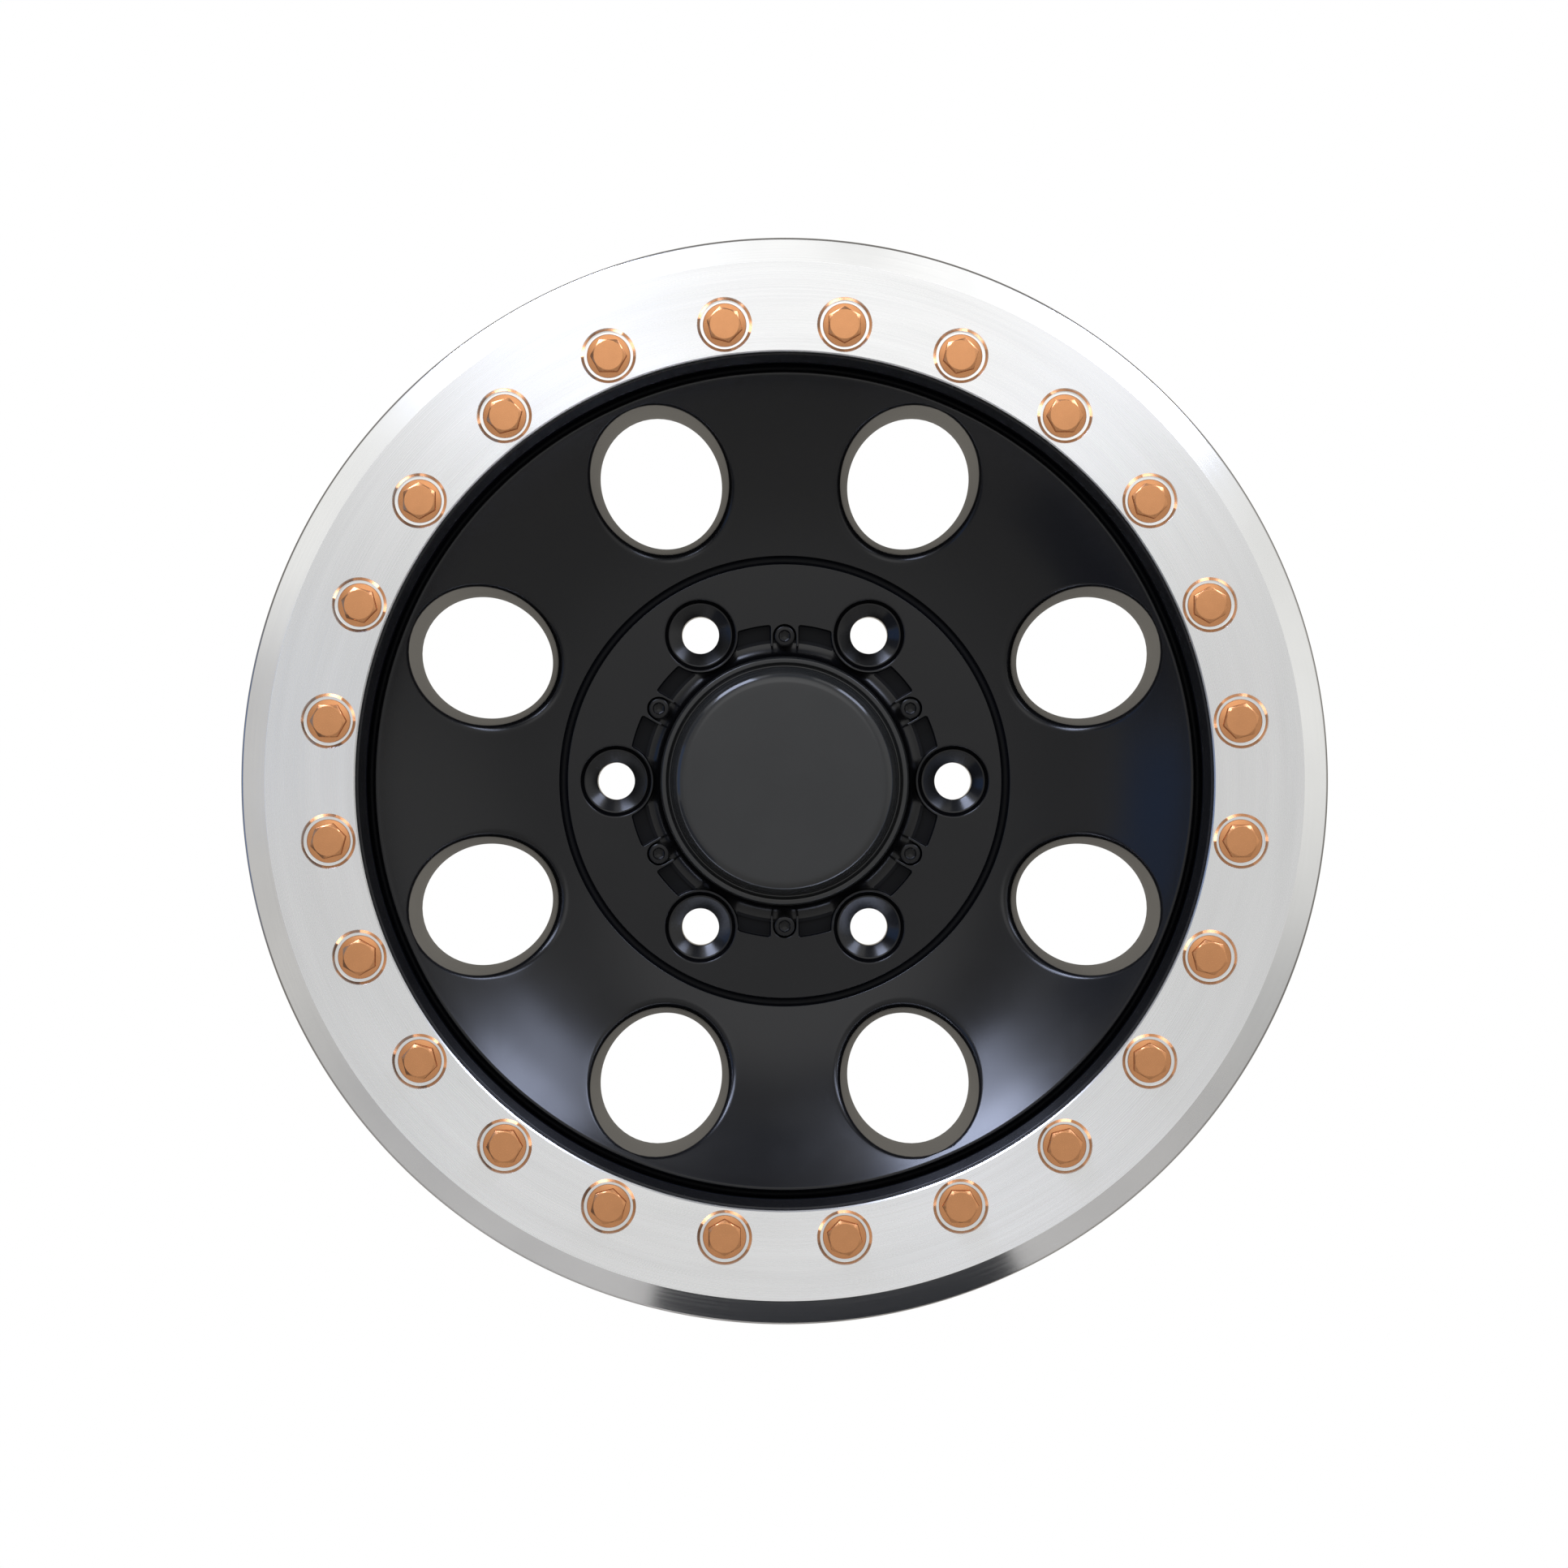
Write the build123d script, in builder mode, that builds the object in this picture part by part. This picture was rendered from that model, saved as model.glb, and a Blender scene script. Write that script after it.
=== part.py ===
from build123d import *
from math import cos, radians, tan
import os

# A 16-inch off-road wheel with a bolted clamp ring for the tyre's outer bead.
# Millimetres. The wheel turns about Y, its outboard face looks along -Y, and Z is up.
# The origin is the centre of the face that bolts to the vehicle's hub.

# Hub
hub_thickness = 22.0
hub_margin = 20.05
bore_wall = 15.6
groove_width = 3.3
groove_depth = 3.5
groove_edge_fillet = 0.8
bore_chamfer = 1.5
mounting_pad_inset = 1.9
mounting_pad_flank = 8.0

# Lug seats
lug_count = 6
lug_circle_radius = 69.85
lug_hole_radius = 7.7
lug_seat_radius = 12.4
lug_seat_angle = 60.0
lug_mouth_radius = 14.4
lug_mouth_floor_radius = 13.1
lug_mouth_depth = 3.0
lug_boss_wall = 1.2

# Pocket around the cap, with its screw pads
pocket_inset = 5.0
pocket_depth = 5.2
pad_wall = 1.0
pad_length = 9.05
screw_inset = 4.75

# Hollows in the back of the hub, between the lug holes
back_hollow_offset = 5.15
back_hollow_width = 14.0
back_hollow_spread = 20.0
back_hollow_depth = 9.0

# Dished disc and its windows
disc_radius = 167.5
disc_rise = 40.0
disc_hollow = 5.6
disc_back_hollow = 2.8
disc_thickness = 15.0
disc_backing = 18.0
disc_edge_fillet = 1.6
disc_back_fillet = 8.0
window_count = 8
window_inner_margin = 9.9
window_outer_margin = 11.6
window_draft = 10.0
window_edge_fillet = 2.4

# Moat and lip inside the clamp ring
moat_width = 2.9
moat_depth = 8.0
moat_fillet = 1.2
lip_run = 3.6
lip_edge_fillet = 0.8
ring_clearance = 0.3

# Clamp ring
dish_depth = 58.0
ring_thickness = 14.0
ring_face_width = 36.7
ring_bevel_run = 10.0
ring_bevel_drop = 7.0
ring_edge_fillet = 1.4
ring_inner_chamfer = 0.6
bead_lip = 3.0

# Ring bolts
hex_sides = 6
bolt_count = 24
bolt_edge_distance = 12.5
bolt_radius = 4.0
bolt_length = 30.0
bolt_hex = 12.8
bolt_head_height = 8.1
bolt_flange_radius = 8.95
bolt_flange_edge = 1.3
bolt_flange_rise = 1.4
bolt_crown_radius = 5.95
bolt_crown_angle = 30.0
bolt_hex_turn = 7.5
bolt_clearance = 0.25
thread_clearance = 0.05
thread_runout = 2.5
bolt_pocket_gap = 1.05
bolt_pocket_depth = 4.5
bolt_pocket_chamfer = 1.2

# Barrel
bolt_to_seat = 16.0
bead_slot_width = 19.0
seat_fillet = 2.5
shoulder_height = 8.2
shoulder_width = 6.0
shoulder_fillet = 2.0
rim_width = 203.0
well_depth = 18.8
well_start = 24.0
well_width = 42.0
ramp_width = 18.0
barrel_wall = 6.5
barrel_drop = 5.6
barrel_fillet = 8.0
hump_height = 1.3
hump_width = 12.0
hump_fillet = 2.0
bead_seat_width = 27.0
bead_seat_taper = 1.9
flange_height = 17.5
flange_width = 11.0
flange_root_fillet = 6.0
flange_edge_fillet = 3.0

# Cap and its screws
cap_clearance = 0.25
cap_wall = 2.4
cap_base_thickness = 1.6
cap_step = 6.8
cap_roll_radius = 6.6
cap_height = 11.0
cap_valley_height = 1.8
cap_valley_width = 1.6
cap_bead_radius = 1.7
cap_bead_height = 4.2
screw_radius = 2.5
screw_length = 12.0
screw_head_radius = 4.25
screw_head_height = 3.5
screw_head_gap = 0.55
screw_socket = 4.0
screw_socket_depth = 2.0

# Stations along the axis, from the bolted face outboard
hub_y = -hub_thickness
ring_face_y = hub_y - dish_depth
clamp_y = ring_face_y + ring_thickness
disc_edge_y = hub_y - disc_rise
moat_y = disc_edge_y + moat_depth
shoulder_y = clamp_y + bead_slot_width
well_y = shoulder_y + well_start
well_end_y = well_y + well_width
barrel_y = well_end_y + ramp_width
flange_y = clamp_y + bead_lip + rim_width
bead_seat_y = flange_y - bead_seat_width
pocket_y = hub_y + pocket_depth
bolt_seat_y = ring_face_y + bolt_pocket_depth
cap_base_y = pocket_y - cap_base_thickness

# Radii of the hub, from the lug circle
hub_face_radius = lug_circle_radius + hub_margin
groove_radius = hub_face_radius + groove_width
mounting_pad_radius = hub_face_radius - mounting_pad_inset
center_bore_radius = lug_circle_radius - lug_hole_radius - bore_wall
lug_boss_radius = lug_mouth_radius + lug_boss_wall
pocket_radius = lug_circle_radius - pocket_inset
pad_tip_radius = pocket_radius - pad_length
screw_circle_radius = pocket_radius - screw_inset
back_hollow_radius = lug_circle_radius + back_hollow_offset

# Radii of the disc and what lies round it
window_radius = (disc_radius - groove_radius - window_inner_margin - window_outer_margin) / 2
window_axis_radius = groove_radius + window_inner_margin + window_radius
lip_foot_radius = disc_radius + moat_width
lip_radius = lip_foot_radius + lip_run
ring_inner_radius = lip_radius + ring_clearance
bolt_circle_radius = ring_inner_radius + bolt_edge_distance
seat_radius = bolt_circle_radius + bolt_to_seat
ring_face_radius = ring_inner_radius + ring_face_width
ring_outer_radius = ring_face_radius + ring_bevel_run
shoulder_radius = seat_radius + shoulder_height
well_radius = seat_radius - well_depth
barrel_radius = seat_radius - barrel_drop
flange_radius = seat_radius + flange_height

# Angles of the patterns, anticlockwise from +X as seen from outboard
window_angle = 180 / window_count
bolt_angle = 180 / bolt_count
screw_angle = 180 / lug_count


def facing_out(y):
    """The plane across the wheel at y, seen from outboard with Z up."""
    return Plane(origin=(0, y, 0), x_dir=(1, 0, 0), z_dir=(0, -1, 0))


# Section of the barrel: each corner with its fillet, from the disc's edge round to the disc's back
barrel_corners = (
    ((disc_radius, moat_y), moat_fillet),
    ((lip_foot_radius, moat_y), moat_fillet),
    ((lip_radius, clamp_y), lip_edge_fillet),
    ((seat_radius, clamp_y), lip_edge_fillet),
    ((seat_radius, shoulder_y), seat_fillet),
    ((shoulder_radius, shoulder_y), shoulder_fillet),
    ((shoulder_radius, shoulder_y + shoulder_width), shoulder_fillet),
    ((well_radius, well_y), barrel_fillet),
    ((well_radius, well_end_y), barrel_fillet),
    ((barrel_radius, barrel_y), barrel_fillet),
    ((barrel_radius, bead_seat_y - hump_width), barrel_fillet),
    ((seat_radius - bead_seat_taper + hump_height, bead_seat_y - hump_width / 2), hump_fillet),
    ((seat_radius - bead_seat_taper, bead_seat_y), hump_fillet),
    ((seat_radius, flange_y), flange_root_fillet),
    ((flange_radius, flange_y), flange_edge_fillet),
    ((flange_radius, flange_y + flange_width), flange_edge_fillet),
    ((seat_radius - barrel_wall, flange_y + flange_width / 2), flange_edge_fillet),
    ((barrel_radius - barrel_wall, bead_seat_y), barrel_fillet),
    ((barrel_radius - barrel_wall, barrel_y), barrel_fillet),
    ((well_radius - barrel_wall, well_end_y), barrel_fillet),
)
disc_root = (groove_radius, hub_y)
disc_edge = (disc_radius, disc_edge_y)
back_edge = (well_radius - barrel_wall, disc_edge_y + disc_backing)
back_root = (mounting_pad_radius + mounting_pad_flank, hub_y + disc_thickness)

# Wheel body: one turned casting, then its windows, lug seats, pocket and holes
with BuildPart() as wheel_body:
    with BuildSketch(Plane.XY) as wheel_section:
        with BuildLine():
            SagittaArc(disc_root, disc_edge, disc_hollow)
            corner_points = [point for point, _ in barrel_corners]
            corner_fillets = [radius for _, radius in barrel_corners]
            FilletPolyline(disc_edge, *corner_points, back_edge, radius=corner_fillets)
            SagittaArc(back_edge, back_root, -disc_back_hollow)
            Polyline(
                back_root,
                (mounting_pad_radius, 0),
                (center_bore_radius + bore_chamfer, 0),
                (center_bore_radius, -bore_chamfer),
                (center_bore_radius, hub_y),
                (hub_face_radius, hub_y),
                (hub_face_radius, hub_y + groove_depth),
                (groove_radius, hub_y + groove_depth),
                disc_root,
            )
        make_face()
        fillet(wheel_section.vertices().sort_by_distance(disc_edge)[0], disc_edge_fillet)
        fillet(wheel_section.vertices().sort_by_distance(back_edge)[0], disc_back_fillet)
        for groove_lip in (disc_root, (hub_face_radius, hub_y)):
            fillet(wheel_section.vertices().sort_by_distance(groove_lip)[0], groove_edge_fillet)
    revolve(axis=Axis.Y)

    # Windows: drafted round openings through the disc, wider at the front, with a soft front edge
    with Locations(facing_out(ring_face_y / 2)):
        with PolarLocations(window_axis_radius, window_count, window_angle):
            draft_slope = tan(radians(window_draft))
            back_radius = window_radius - hub_thickness * draft_slope
            front_radius = window_radius + dish_depth * draft_slope
            Cone(back_radius, front_radius, -ring_face_y, mode=Mode.SUBTRACT)
    window_edges = wheel_body.edges(Select.LAST).filter_by(GeomType.LINE, reverse=True)
    front_edges = window_edges.sort_by(lambda edge: edge.center(CenterOf.MASS).Y)[:window_count]
    fillet(front_edges, window_edge_fillet)

    # Pocket around the cap, between the lug bosses and the notched screw pads
    with BuildSketch(facing_out(hub_y)):
        Circle(pocket_radius)
        with PolarLocations(lug_circle_radius, lug_count):
            Circle(lug_boss_radius, mode=Mode.SUBTRACT)
        notch_radius = screw_head_radius + screw_head_gap
        pad_width = 2 * (notch_radius + pad_wall)
        with PolarLocations(pad_tip_radius, lug_count, screw_angle):
            with Locations((pad_length, 0)):
                Rectangle(2 * pad_length, pad_width, mode=Mode.SUBTRACT)
        with PolarLocations(screw_circle_radius, lug_count, screw_angle):
            Circle(notch_radius)
            with Locations((-pad_length, 0)):
                Rectangle(2 * pad_length, 2 * notch_radius)
    extrude(amount=-pocket_depth, mode=Mode.SUBTRACT)

    # Lug seats: a drafted mouth, a conical seat and a through hole
    with Locations(facing_out(hub_y + lug_mouth_depth)):
        with PolarLocations(lug_circle_radius, lug_count):
            CounterSinkHole(lug_hole_radius, lug_seat_radius, hub_thickness, lug_seat_angle)
    with Locations(facing_out(hub_y + lug_mouth_depth / 2)):
        with PolarLocations(lug_circle_radius, lug_count):
            Cone(lug_mouth_floor_radius, lug_mouth_radius, lug_mouth_depth, mode=Mode.SUBTRACT)

    # Threaded holes for the ring bolts and the cap screws
    with Locations(facing_out(clamp_y)):
        with PolarLocations(bolt_circle_radius, bolt_count, bolt_angle):
            thread_depth = bolt_length - ring_thickness + bolt_pocket_depth + thread_runout
            Hole(bolt_radius + thread_clearance, thread_depth)
    with Locations(facing_out(pocket_y)):
        with PolarLocations(screw_circle_radius, lug_count, screw_angle):
            Hole(screw_radius + thread_clearance, screw_length - cap_base_thickness + thread_runout)

    # Hollows in the back of the hub, between the lug holes
    with BuildSketch(facing_out(0)):
        for index in range(lug_count):
            middle = screw_angle + index * 360 / lug_count
            with BuildLine() as hollow_path:
                CenterArc((0, 0), back_hollow_radius, middle - back_hollow_spread / 2, back_hollow_spread)
            SlotArc(hollow_path.edge(), back_hollow_width)
    extrude(amount=back_hollow_depth, mode=Mode.SUBTRACT)

wheel_body.part.label = "wheel_body"

# Clamp ring: flat brushed face, outer bevel, bead lip behind, a chamfered pocket for each bolt
with BuildPart() as beadlock_ring:
    with BuildSketch(Plane.XY) as ring_section:
        with BuildLine():
            Polyline(
                (ring_inner_radius, clamp_y),
                (ring_inner_radius, ring_face_y + ring_inner_chamfer),
                (ring_inner_radius + ring_inner_chamfer, ring_face_y),
                (ring_face_radius, ring_face_y),
                (ring_outer_radius, ring_face_y + ring_bevel_drop),
                (ring_outer_radius, clamp_y + bead_lip),
                (seat_radius + ring_clearance, clamp_y + bead_lip),
                (seat_radius + ring_clearance, clamp_y),
                close=True,
            )
        make_face()
        rim_corners = ring_section.vertices().group_by(Axis.X)[-1]
        fillet(rim_corners, ring_edge_fillet)
    revolve(axis=Axis.Y)
    bolt_pocket_radius = bolt_flange_radius + bolt_pocket_gap
    with Locations(facing_out(ring_face_y)):
        with PolarLocations(bolt_circle_radius, bolt_count, bolt_angle):
            CounterBoreHole(bolt_radius + bolt_clearance, bolt_pocket_radius, bolt_pocket_depth)
    front_circles = beadlock_ring.edges().filter_by(GeomType.CIRCLE).group_by(Axis.Y)[0]
    chamfer(front_circles.group_by(SortBy.RADIUS)[0], bolt_pocket_chamfer)

beadlock_ring.part.label = "beadlock_ring"

# One ring bolt, standing on its flange: shank below, flange and chamfered hexagon above
hex_corner_radius = bolt_hex / 2 / cos(radians(180 / hex_sides))
crown_drop = (hex_corner_radius - bolt_crown_radius) * tan(radians(bolt_crown_angle))
flange_top = bolt_flange_edge + bolt_flange_rise
with BuildPart() as flange_bolt:
    with BuildSketch(Plane.XY):
        RegularPolygon(hex_corner_radius, hex_sides, rotation=bolt_hex_turn)
    extrude(amount=bolt_head_height)
    with BuildSketch(Plane.XZ):
        with BuildLine():
            Polyline(
                (0, 0),
                (hex_corner_radius, 0),
                (hex_corner_radius, bolt_head_height - crown_drop),
                (bolt_crown_radius, bolt_head_height),
                (0, bolt_head_height),
                close=True,
            )
        make_face()
    revolve(axis=Axis.Z, mode=Mode.INTERSECT)
    with BuildSketch(Plane.XZ):
        with BuildLine():
            Polyline(
                (0, -bolt_length),
                (bolt_radius, -bolt_length),
                (bolt_radius, 0),
                (bolt_flange_radius, 0),
                (bolt_flange_radius, bolt_flange_edge),
                (bolt_hex / 2, flange_top),
                (0, flange_top),
                close=True,
            )
        make_face()
    revolve(axis=Axis.Z)

with BuildPart() as ring_bolts:
    with Locations(facing_out(bolt_seat_y)):
        with PolarLocations(bolt_circle_radius, bolt_count, bolt_angle):
            add(flange_bolt.part)

ring_bolts.part.label = "ring_bolts"

# Cap: a turned shell with a rolled edge and a bead, on a thin base with an ear under each screw
cap_foot_radius = lug_circle_radius - lug_boss_radius - cap_clearance
cap_base_radius = pad_tip_radius - cap_clearance
cap_bead_center = cap_foot_radius - cap_bead_radius
cap_wall_radius = cap_foot_radius - cap_step
cap_top_radius = cap_wall_radius - cap_roll_radius
cap_top_y = hub_y - cap_height
cap_valley_y = hub_y - cap_valley_height
cap_bead_y = hub_y - cap_bead_height
with BuildPart() as center_cap:
    with BuildSketch(Plane.XY) as cap_section:
        with BuildLine():
            roll = RadiusArc(
                (cap_top_radius, cap_top_y), (cap_wall_radius, cap_top_y + cap_roll_radius), -cap_roll_radius
            )
            Line((0, cap_top_y), roll @ 0)
            Polyline(
                roll @ 1,
                (cap_wall_radius, cap_valley_y),
                (cap_wall_radius + cap_valley_width, cap_valley_y),
                (cap_bead_center - cap_bead_radius, cap_bead_y + cap_bead_radius),
            )
            bead = ThreePointArc(
                (cap_bead_center - cap_bead_radius, cap_bead_y + cap_bead_radius),
                (cap_bead_center, cap_bead_y),
                (cap_foot_radius, cap_bead_y + cap_bead_radius),
            )
            Polyline(
                bead @ 1,
                (cap_foot_radius, pocket_y),
                (cap_foot_radius - cap_wall, pocket_y),
                (cap_foot_radius - cap_wall, cap_valley_y + cap_wall),
                (cap_wall_radius - cap_wall, cap_valley_y + cap_wall),
                (cap_wall_radius - cap_wall, cap_top_y + cap_roll_radius),
                (cap_top_radius, cap_top_y + cap_wall),
                (0, cap_top_y + cap_wall),
                (0, cap_top_y),
            )
        make_face()
    revolve(axis=Axis.Y)
    with BuildSketch(facing_out(pocket_y)):
        Circle(cap_base_radius)
        with PolarLocations(screw_circle_radius, lug_count, screw_angle):
            Circle(screw_head_radius)
            with Locations((-screw_head_radius, 0)):
                Rectangle(2 * screw_head_radius, 2 * screw_head_radius)
        with PolarLocations(lug_circle_radius, lug_count):
            Circle(lug_boss_radius + cap_clearance, mode=Mode.SUBTRACT)
        Circle(cap_foot_radius - cap_wall, mode=Mode.SUBTRACT)
    extrude(amount=cap_base_thickness)
    with Locations(facing_out(cap_base_y)):
        with PolarLocations(screw_circle_radius, lug_count, screw_angle):
            Hole(screw_radius + bolt_clearance, cap_base_thickness)

center_cap.part.label = "center_cap"

# One cap screw, standing on its head's underside: shank below, head with a hexagon socket above
with BuildPart() as socket_screw:
    with Locations((0, 0, screw_head_height / 2)):
        Cylinder(screw_head_radius, screw_head_height)
    with Locations((0, 0, -screw_length / 2)):
        Cylinder(screw_radius, screw_length)
    with BuildSketch(Plane.XY.offset(screw_head_height)):
        RegularPolygon(screw_socket / 2, hex_sides, major_radius=False)
    extrude(amount=-screw_socket_depth, mode=Mode.SUBTRACT)

with BuildPart() as cap_screws:
    with Locations(facing_out(cap_base_y)):
        with PolarLocations(screw_circle_radius, lug_count, screw_angle):
            add(socket_screw.part)

cap_screws.part.label = "cap_screws"

# One file for each piece
os.makedirs("parts", exist_ok=True)
for piece in (wheel_body, beadlock_ring, ring_bolts, center_cap, cap_screws):
    export_step(piece.part, f"parts/{piece.part.label}.step")
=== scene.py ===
"""Looks of an off-road wheel with a bolted clamp ring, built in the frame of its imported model.

Sizes of the wheel are in millimetres, and meshes and the studio are in metres. The axle is Y, the
outboard face looks along -Y and Z is up. A station is a place along the axle, and a bearing is an
angle round it.
"""
import logging
from dataclasses import dataclass
from enum import Enum
from functools import cached_property
from math import acos, ceil, cos, pi, radians, sin, sqrt, tan
from typing import Callable, Sequence

import bmesh
import bpy
import numpy as np
from mathutils import Matrix, Vector


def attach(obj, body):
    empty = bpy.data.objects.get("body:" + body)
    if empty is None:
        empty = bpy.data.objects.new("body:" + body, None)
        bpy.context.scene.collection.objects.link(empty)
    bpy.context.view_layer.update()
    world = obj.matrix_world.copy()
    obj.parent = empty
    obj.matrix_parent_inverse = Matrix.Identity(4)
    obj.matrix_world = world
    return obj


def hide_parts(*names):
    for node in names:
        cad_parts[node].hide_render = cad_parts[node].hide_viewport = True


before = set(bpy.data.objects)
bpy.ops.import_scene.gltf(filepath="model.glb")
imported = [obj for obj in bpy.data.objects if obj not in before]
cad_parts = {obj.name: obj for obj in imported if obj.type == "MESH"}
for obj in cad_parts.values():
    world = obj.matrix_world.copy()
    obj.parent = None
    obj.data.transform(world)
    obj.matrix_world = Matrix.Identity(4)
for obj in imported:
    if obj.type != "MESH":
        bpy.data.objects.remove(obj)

MM = 0.001
BODY = "root"
WELD = 2e-6
STRAIGHT = 0.01
FILLET_STEP = radians(15)
BARREL_STEP = radians(20)
UV_MAP = "turned"
UV_PER_RADIAN = 0.2
WALL_ROUNDS = 30
EDGE_ROUNDS = 4
LOG = logging.getLogger("beadlock_wheel")
Mesh = bpy.types.Mesh
Thing = bpy.types.Object
Finish = bpy.types.Material
Socket = bpy.types.NodeSocket
Value = np.ndarray | float
Level = tuple[Value, Value]
Spot = tuple[float, float]
Corner = tuple[float, float, float]
Color = tuple[float, float, float]
Row = tuple[np.ndarray, np.ndarray, np.ndarray]


@dataclass(frozen=True)
class Circle:
    """Places spread evenly on a circle round the axle."""

    count: int
    radius: float
    start: float = 0.0

    def angles(self) -> list[float]:
        """Bearings of the places, in radians."""
        return [self.start + index * 2 * pi / self.count for index in range(self.count)]


LUGS = Circle(6, 69.85)
SCREWS = Circle(6, 60.1, pi / 6)
BOLTS = Circle(24, 186.8, pi / 24)
WINDOWS = Circle(8, 129.94, pi / 8)


def rounded(corners: Sequence[Corner], step: float = radians(8)) -> list[Spot]:
    """A path through corners, each rounded by its own radius.

    Args:
        corners: Two coordinates and the fillet radius of each corner.
        step: Largest turn between two points of a fillet, in radians.

    Returns:
        Points of the path, with both ends as given.
    """
    path = [corners[0][:2]]
    for before, here, after in zip(corners, corners[1:], corners[2:]):
        spot, radius = Vector(here[:2]), here[2]
        back = (Vector(before[:2]) - spot).normalized()
        ahead = (Vector(after[:2]) - spot).normalized()
        turn = pi - back.angle(ahead)
        if radius <= 0 or turn < STRAIGHT:
            path.append(here[:2])
            continue
        reach = radius * tan(turn / 2)
        centre = spot + (back + ahead).normalized() * (radius / cos(turn / 2))
        start = spot + back * reach - centre
        end = spot + ahead * reach - centre
        steps = max(2, ceil(turn / step))
        for index in range(steps + 1):
            share = index / steps * turn
            swung = (start * sin(turn - share) + end * sin(share)) / sin(turn)
            path.append(tuple(centre + swung))
    path.append(corners[-1][:2])
    return path


def arc(centre: Spot, radius: float, start: float, end: float, steps: int) -> list[Spot]:
    """Points of an arc in mm, between two angles in radians, both ends included."""
    angles = np.linspace(start, end, steps + 1)
    return [(centre[0] + radius * cos(a), centre[1] + radius * sin(a)) for a in angles]


def plain(spots: Sequence[Spot]) -> list[Corner]:
    """Corners without a fillet, for rounded."""
    return [(x, y, 0.0) for x, y in spots]


def boss_bite(boss: float, reach: float, half: float) -> tuple[Spot, Spot, float, float]:
    """Where a round outline about the axle meets the boss of a lug.

    Args:
        boss: Radius of the boss.
        reach: Radius of the outline.
        half: Angle of the boss from the outline's start, in radians.

    Returns:
        The boss's centre, the meeting point, the angle of that point, and the boss's turn from its
        innermost point to there.
    """
    crossing = acos((LUGS.radius ** 2 + reach ** 2 - boss ** 2) / (2 * LUGS.radius * reach))
    centre = (LUGS.radius * cos(half), LUGS.radius * sin(half))
    bearing = half - crossing
    meet = (reach * cos(bearing), reach * sin(bearing))
    swing = acos(((centre[0] - meet[0]) * cos(half) + (centre[1] - meet[1]) * sin(half)) / boss)
    return centre, meet, bearing, swing


def round_outline(half_share: Sequence[Spot]) -> np.ndarray:
    """A closed outline about the axle, from half of the share that one screw has.

    Args:
        half_share: Points from the screw's own bearing to the next lug's.

    Returns:
        Anticlockwise points across the wheel.
    """
    upper = np.array(half_share)
    share = np.concatenate([upper[:0:-1] * (1, -1), upper[:-1]])
    step = 2 * pi / SCREWS.count
    bearings = [step * index + step / 2 for index in range(SCREWS.count)]
    turns = [np.array([[cos(a), sin(a)], [-sin(a), cos(a)]]) for a in bearings]
    return np.concatenate([share @ turn for turn in turns])


def spun(path: Sequence[Level], steps: int) -> np.ndarray:
    """Closed loops that a section makes when it is turned about the axle.

    Args:
        path: Radius and station of the section's points, one value or one for each angle.
        steps: Points in each loop.

    Returns:
        Loops by points by coordinates, in metres.
    """
    turn = np.linspace(0, 2 * pi, steps, endpoint=False)
    loops = [np.column_stack([r * np.cos(turn), y + 0 * turn, r * np.sin(turn)]) for r, y in path]
    return np.array(loops) * MM


def upright(path: Sequence[Level], steps: int) -> np.ndarray:
    """Loops as from spun, but about Z."""
    return spun(path, steps)[..., [0, 2, 1]]


def stacked(outlines: Sequence[tuple[np.ndarray, Value]]) -> np.ndarray:
    """Closed loops in metres, from outlines across the wheel and their stations in mm."""
    loops = [np.column_stack([flat[:, 0], y + 0 * flat[:, 0], flat[:, 1]]) for flat, y in outlines]
    return np.array(loops) * MM


def swollen(outline: np.ndarray, grow: float) -> np.ndarray:
    """An outline moved outwards by a small distance.

    Args:
        outline: Points of an anticlockwise outline.
        grow: Distance, negative for inwards.

    Returns:
        The moved points.
    """
    chord = np.roll(outline, -1, axis=0) - outline
    normal = np.column_stack([chord[:, 1], -chord[:, 0]])
    normal /= np.linalg.norm(normal, axis=1)[:, None]
    before = np.roll(normal, 1, axis=0)
    middle = normal + before
    middle /= np.maximum(0.5, 1 + np.sum(normal * before, axis=1))[:, None]
    return outline + grow * middle


def numbered(mesh: Mesh, kinds: Sequence[int]) -> None:
    """Sets the material number of each face, before the mesh has its materials."""
    layer = mesh.attributes.get("material_index") or mesh.attributes.new("material_index", "INT", "FACE")
    layer.data.foreach_set("value", kinds)


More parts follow.
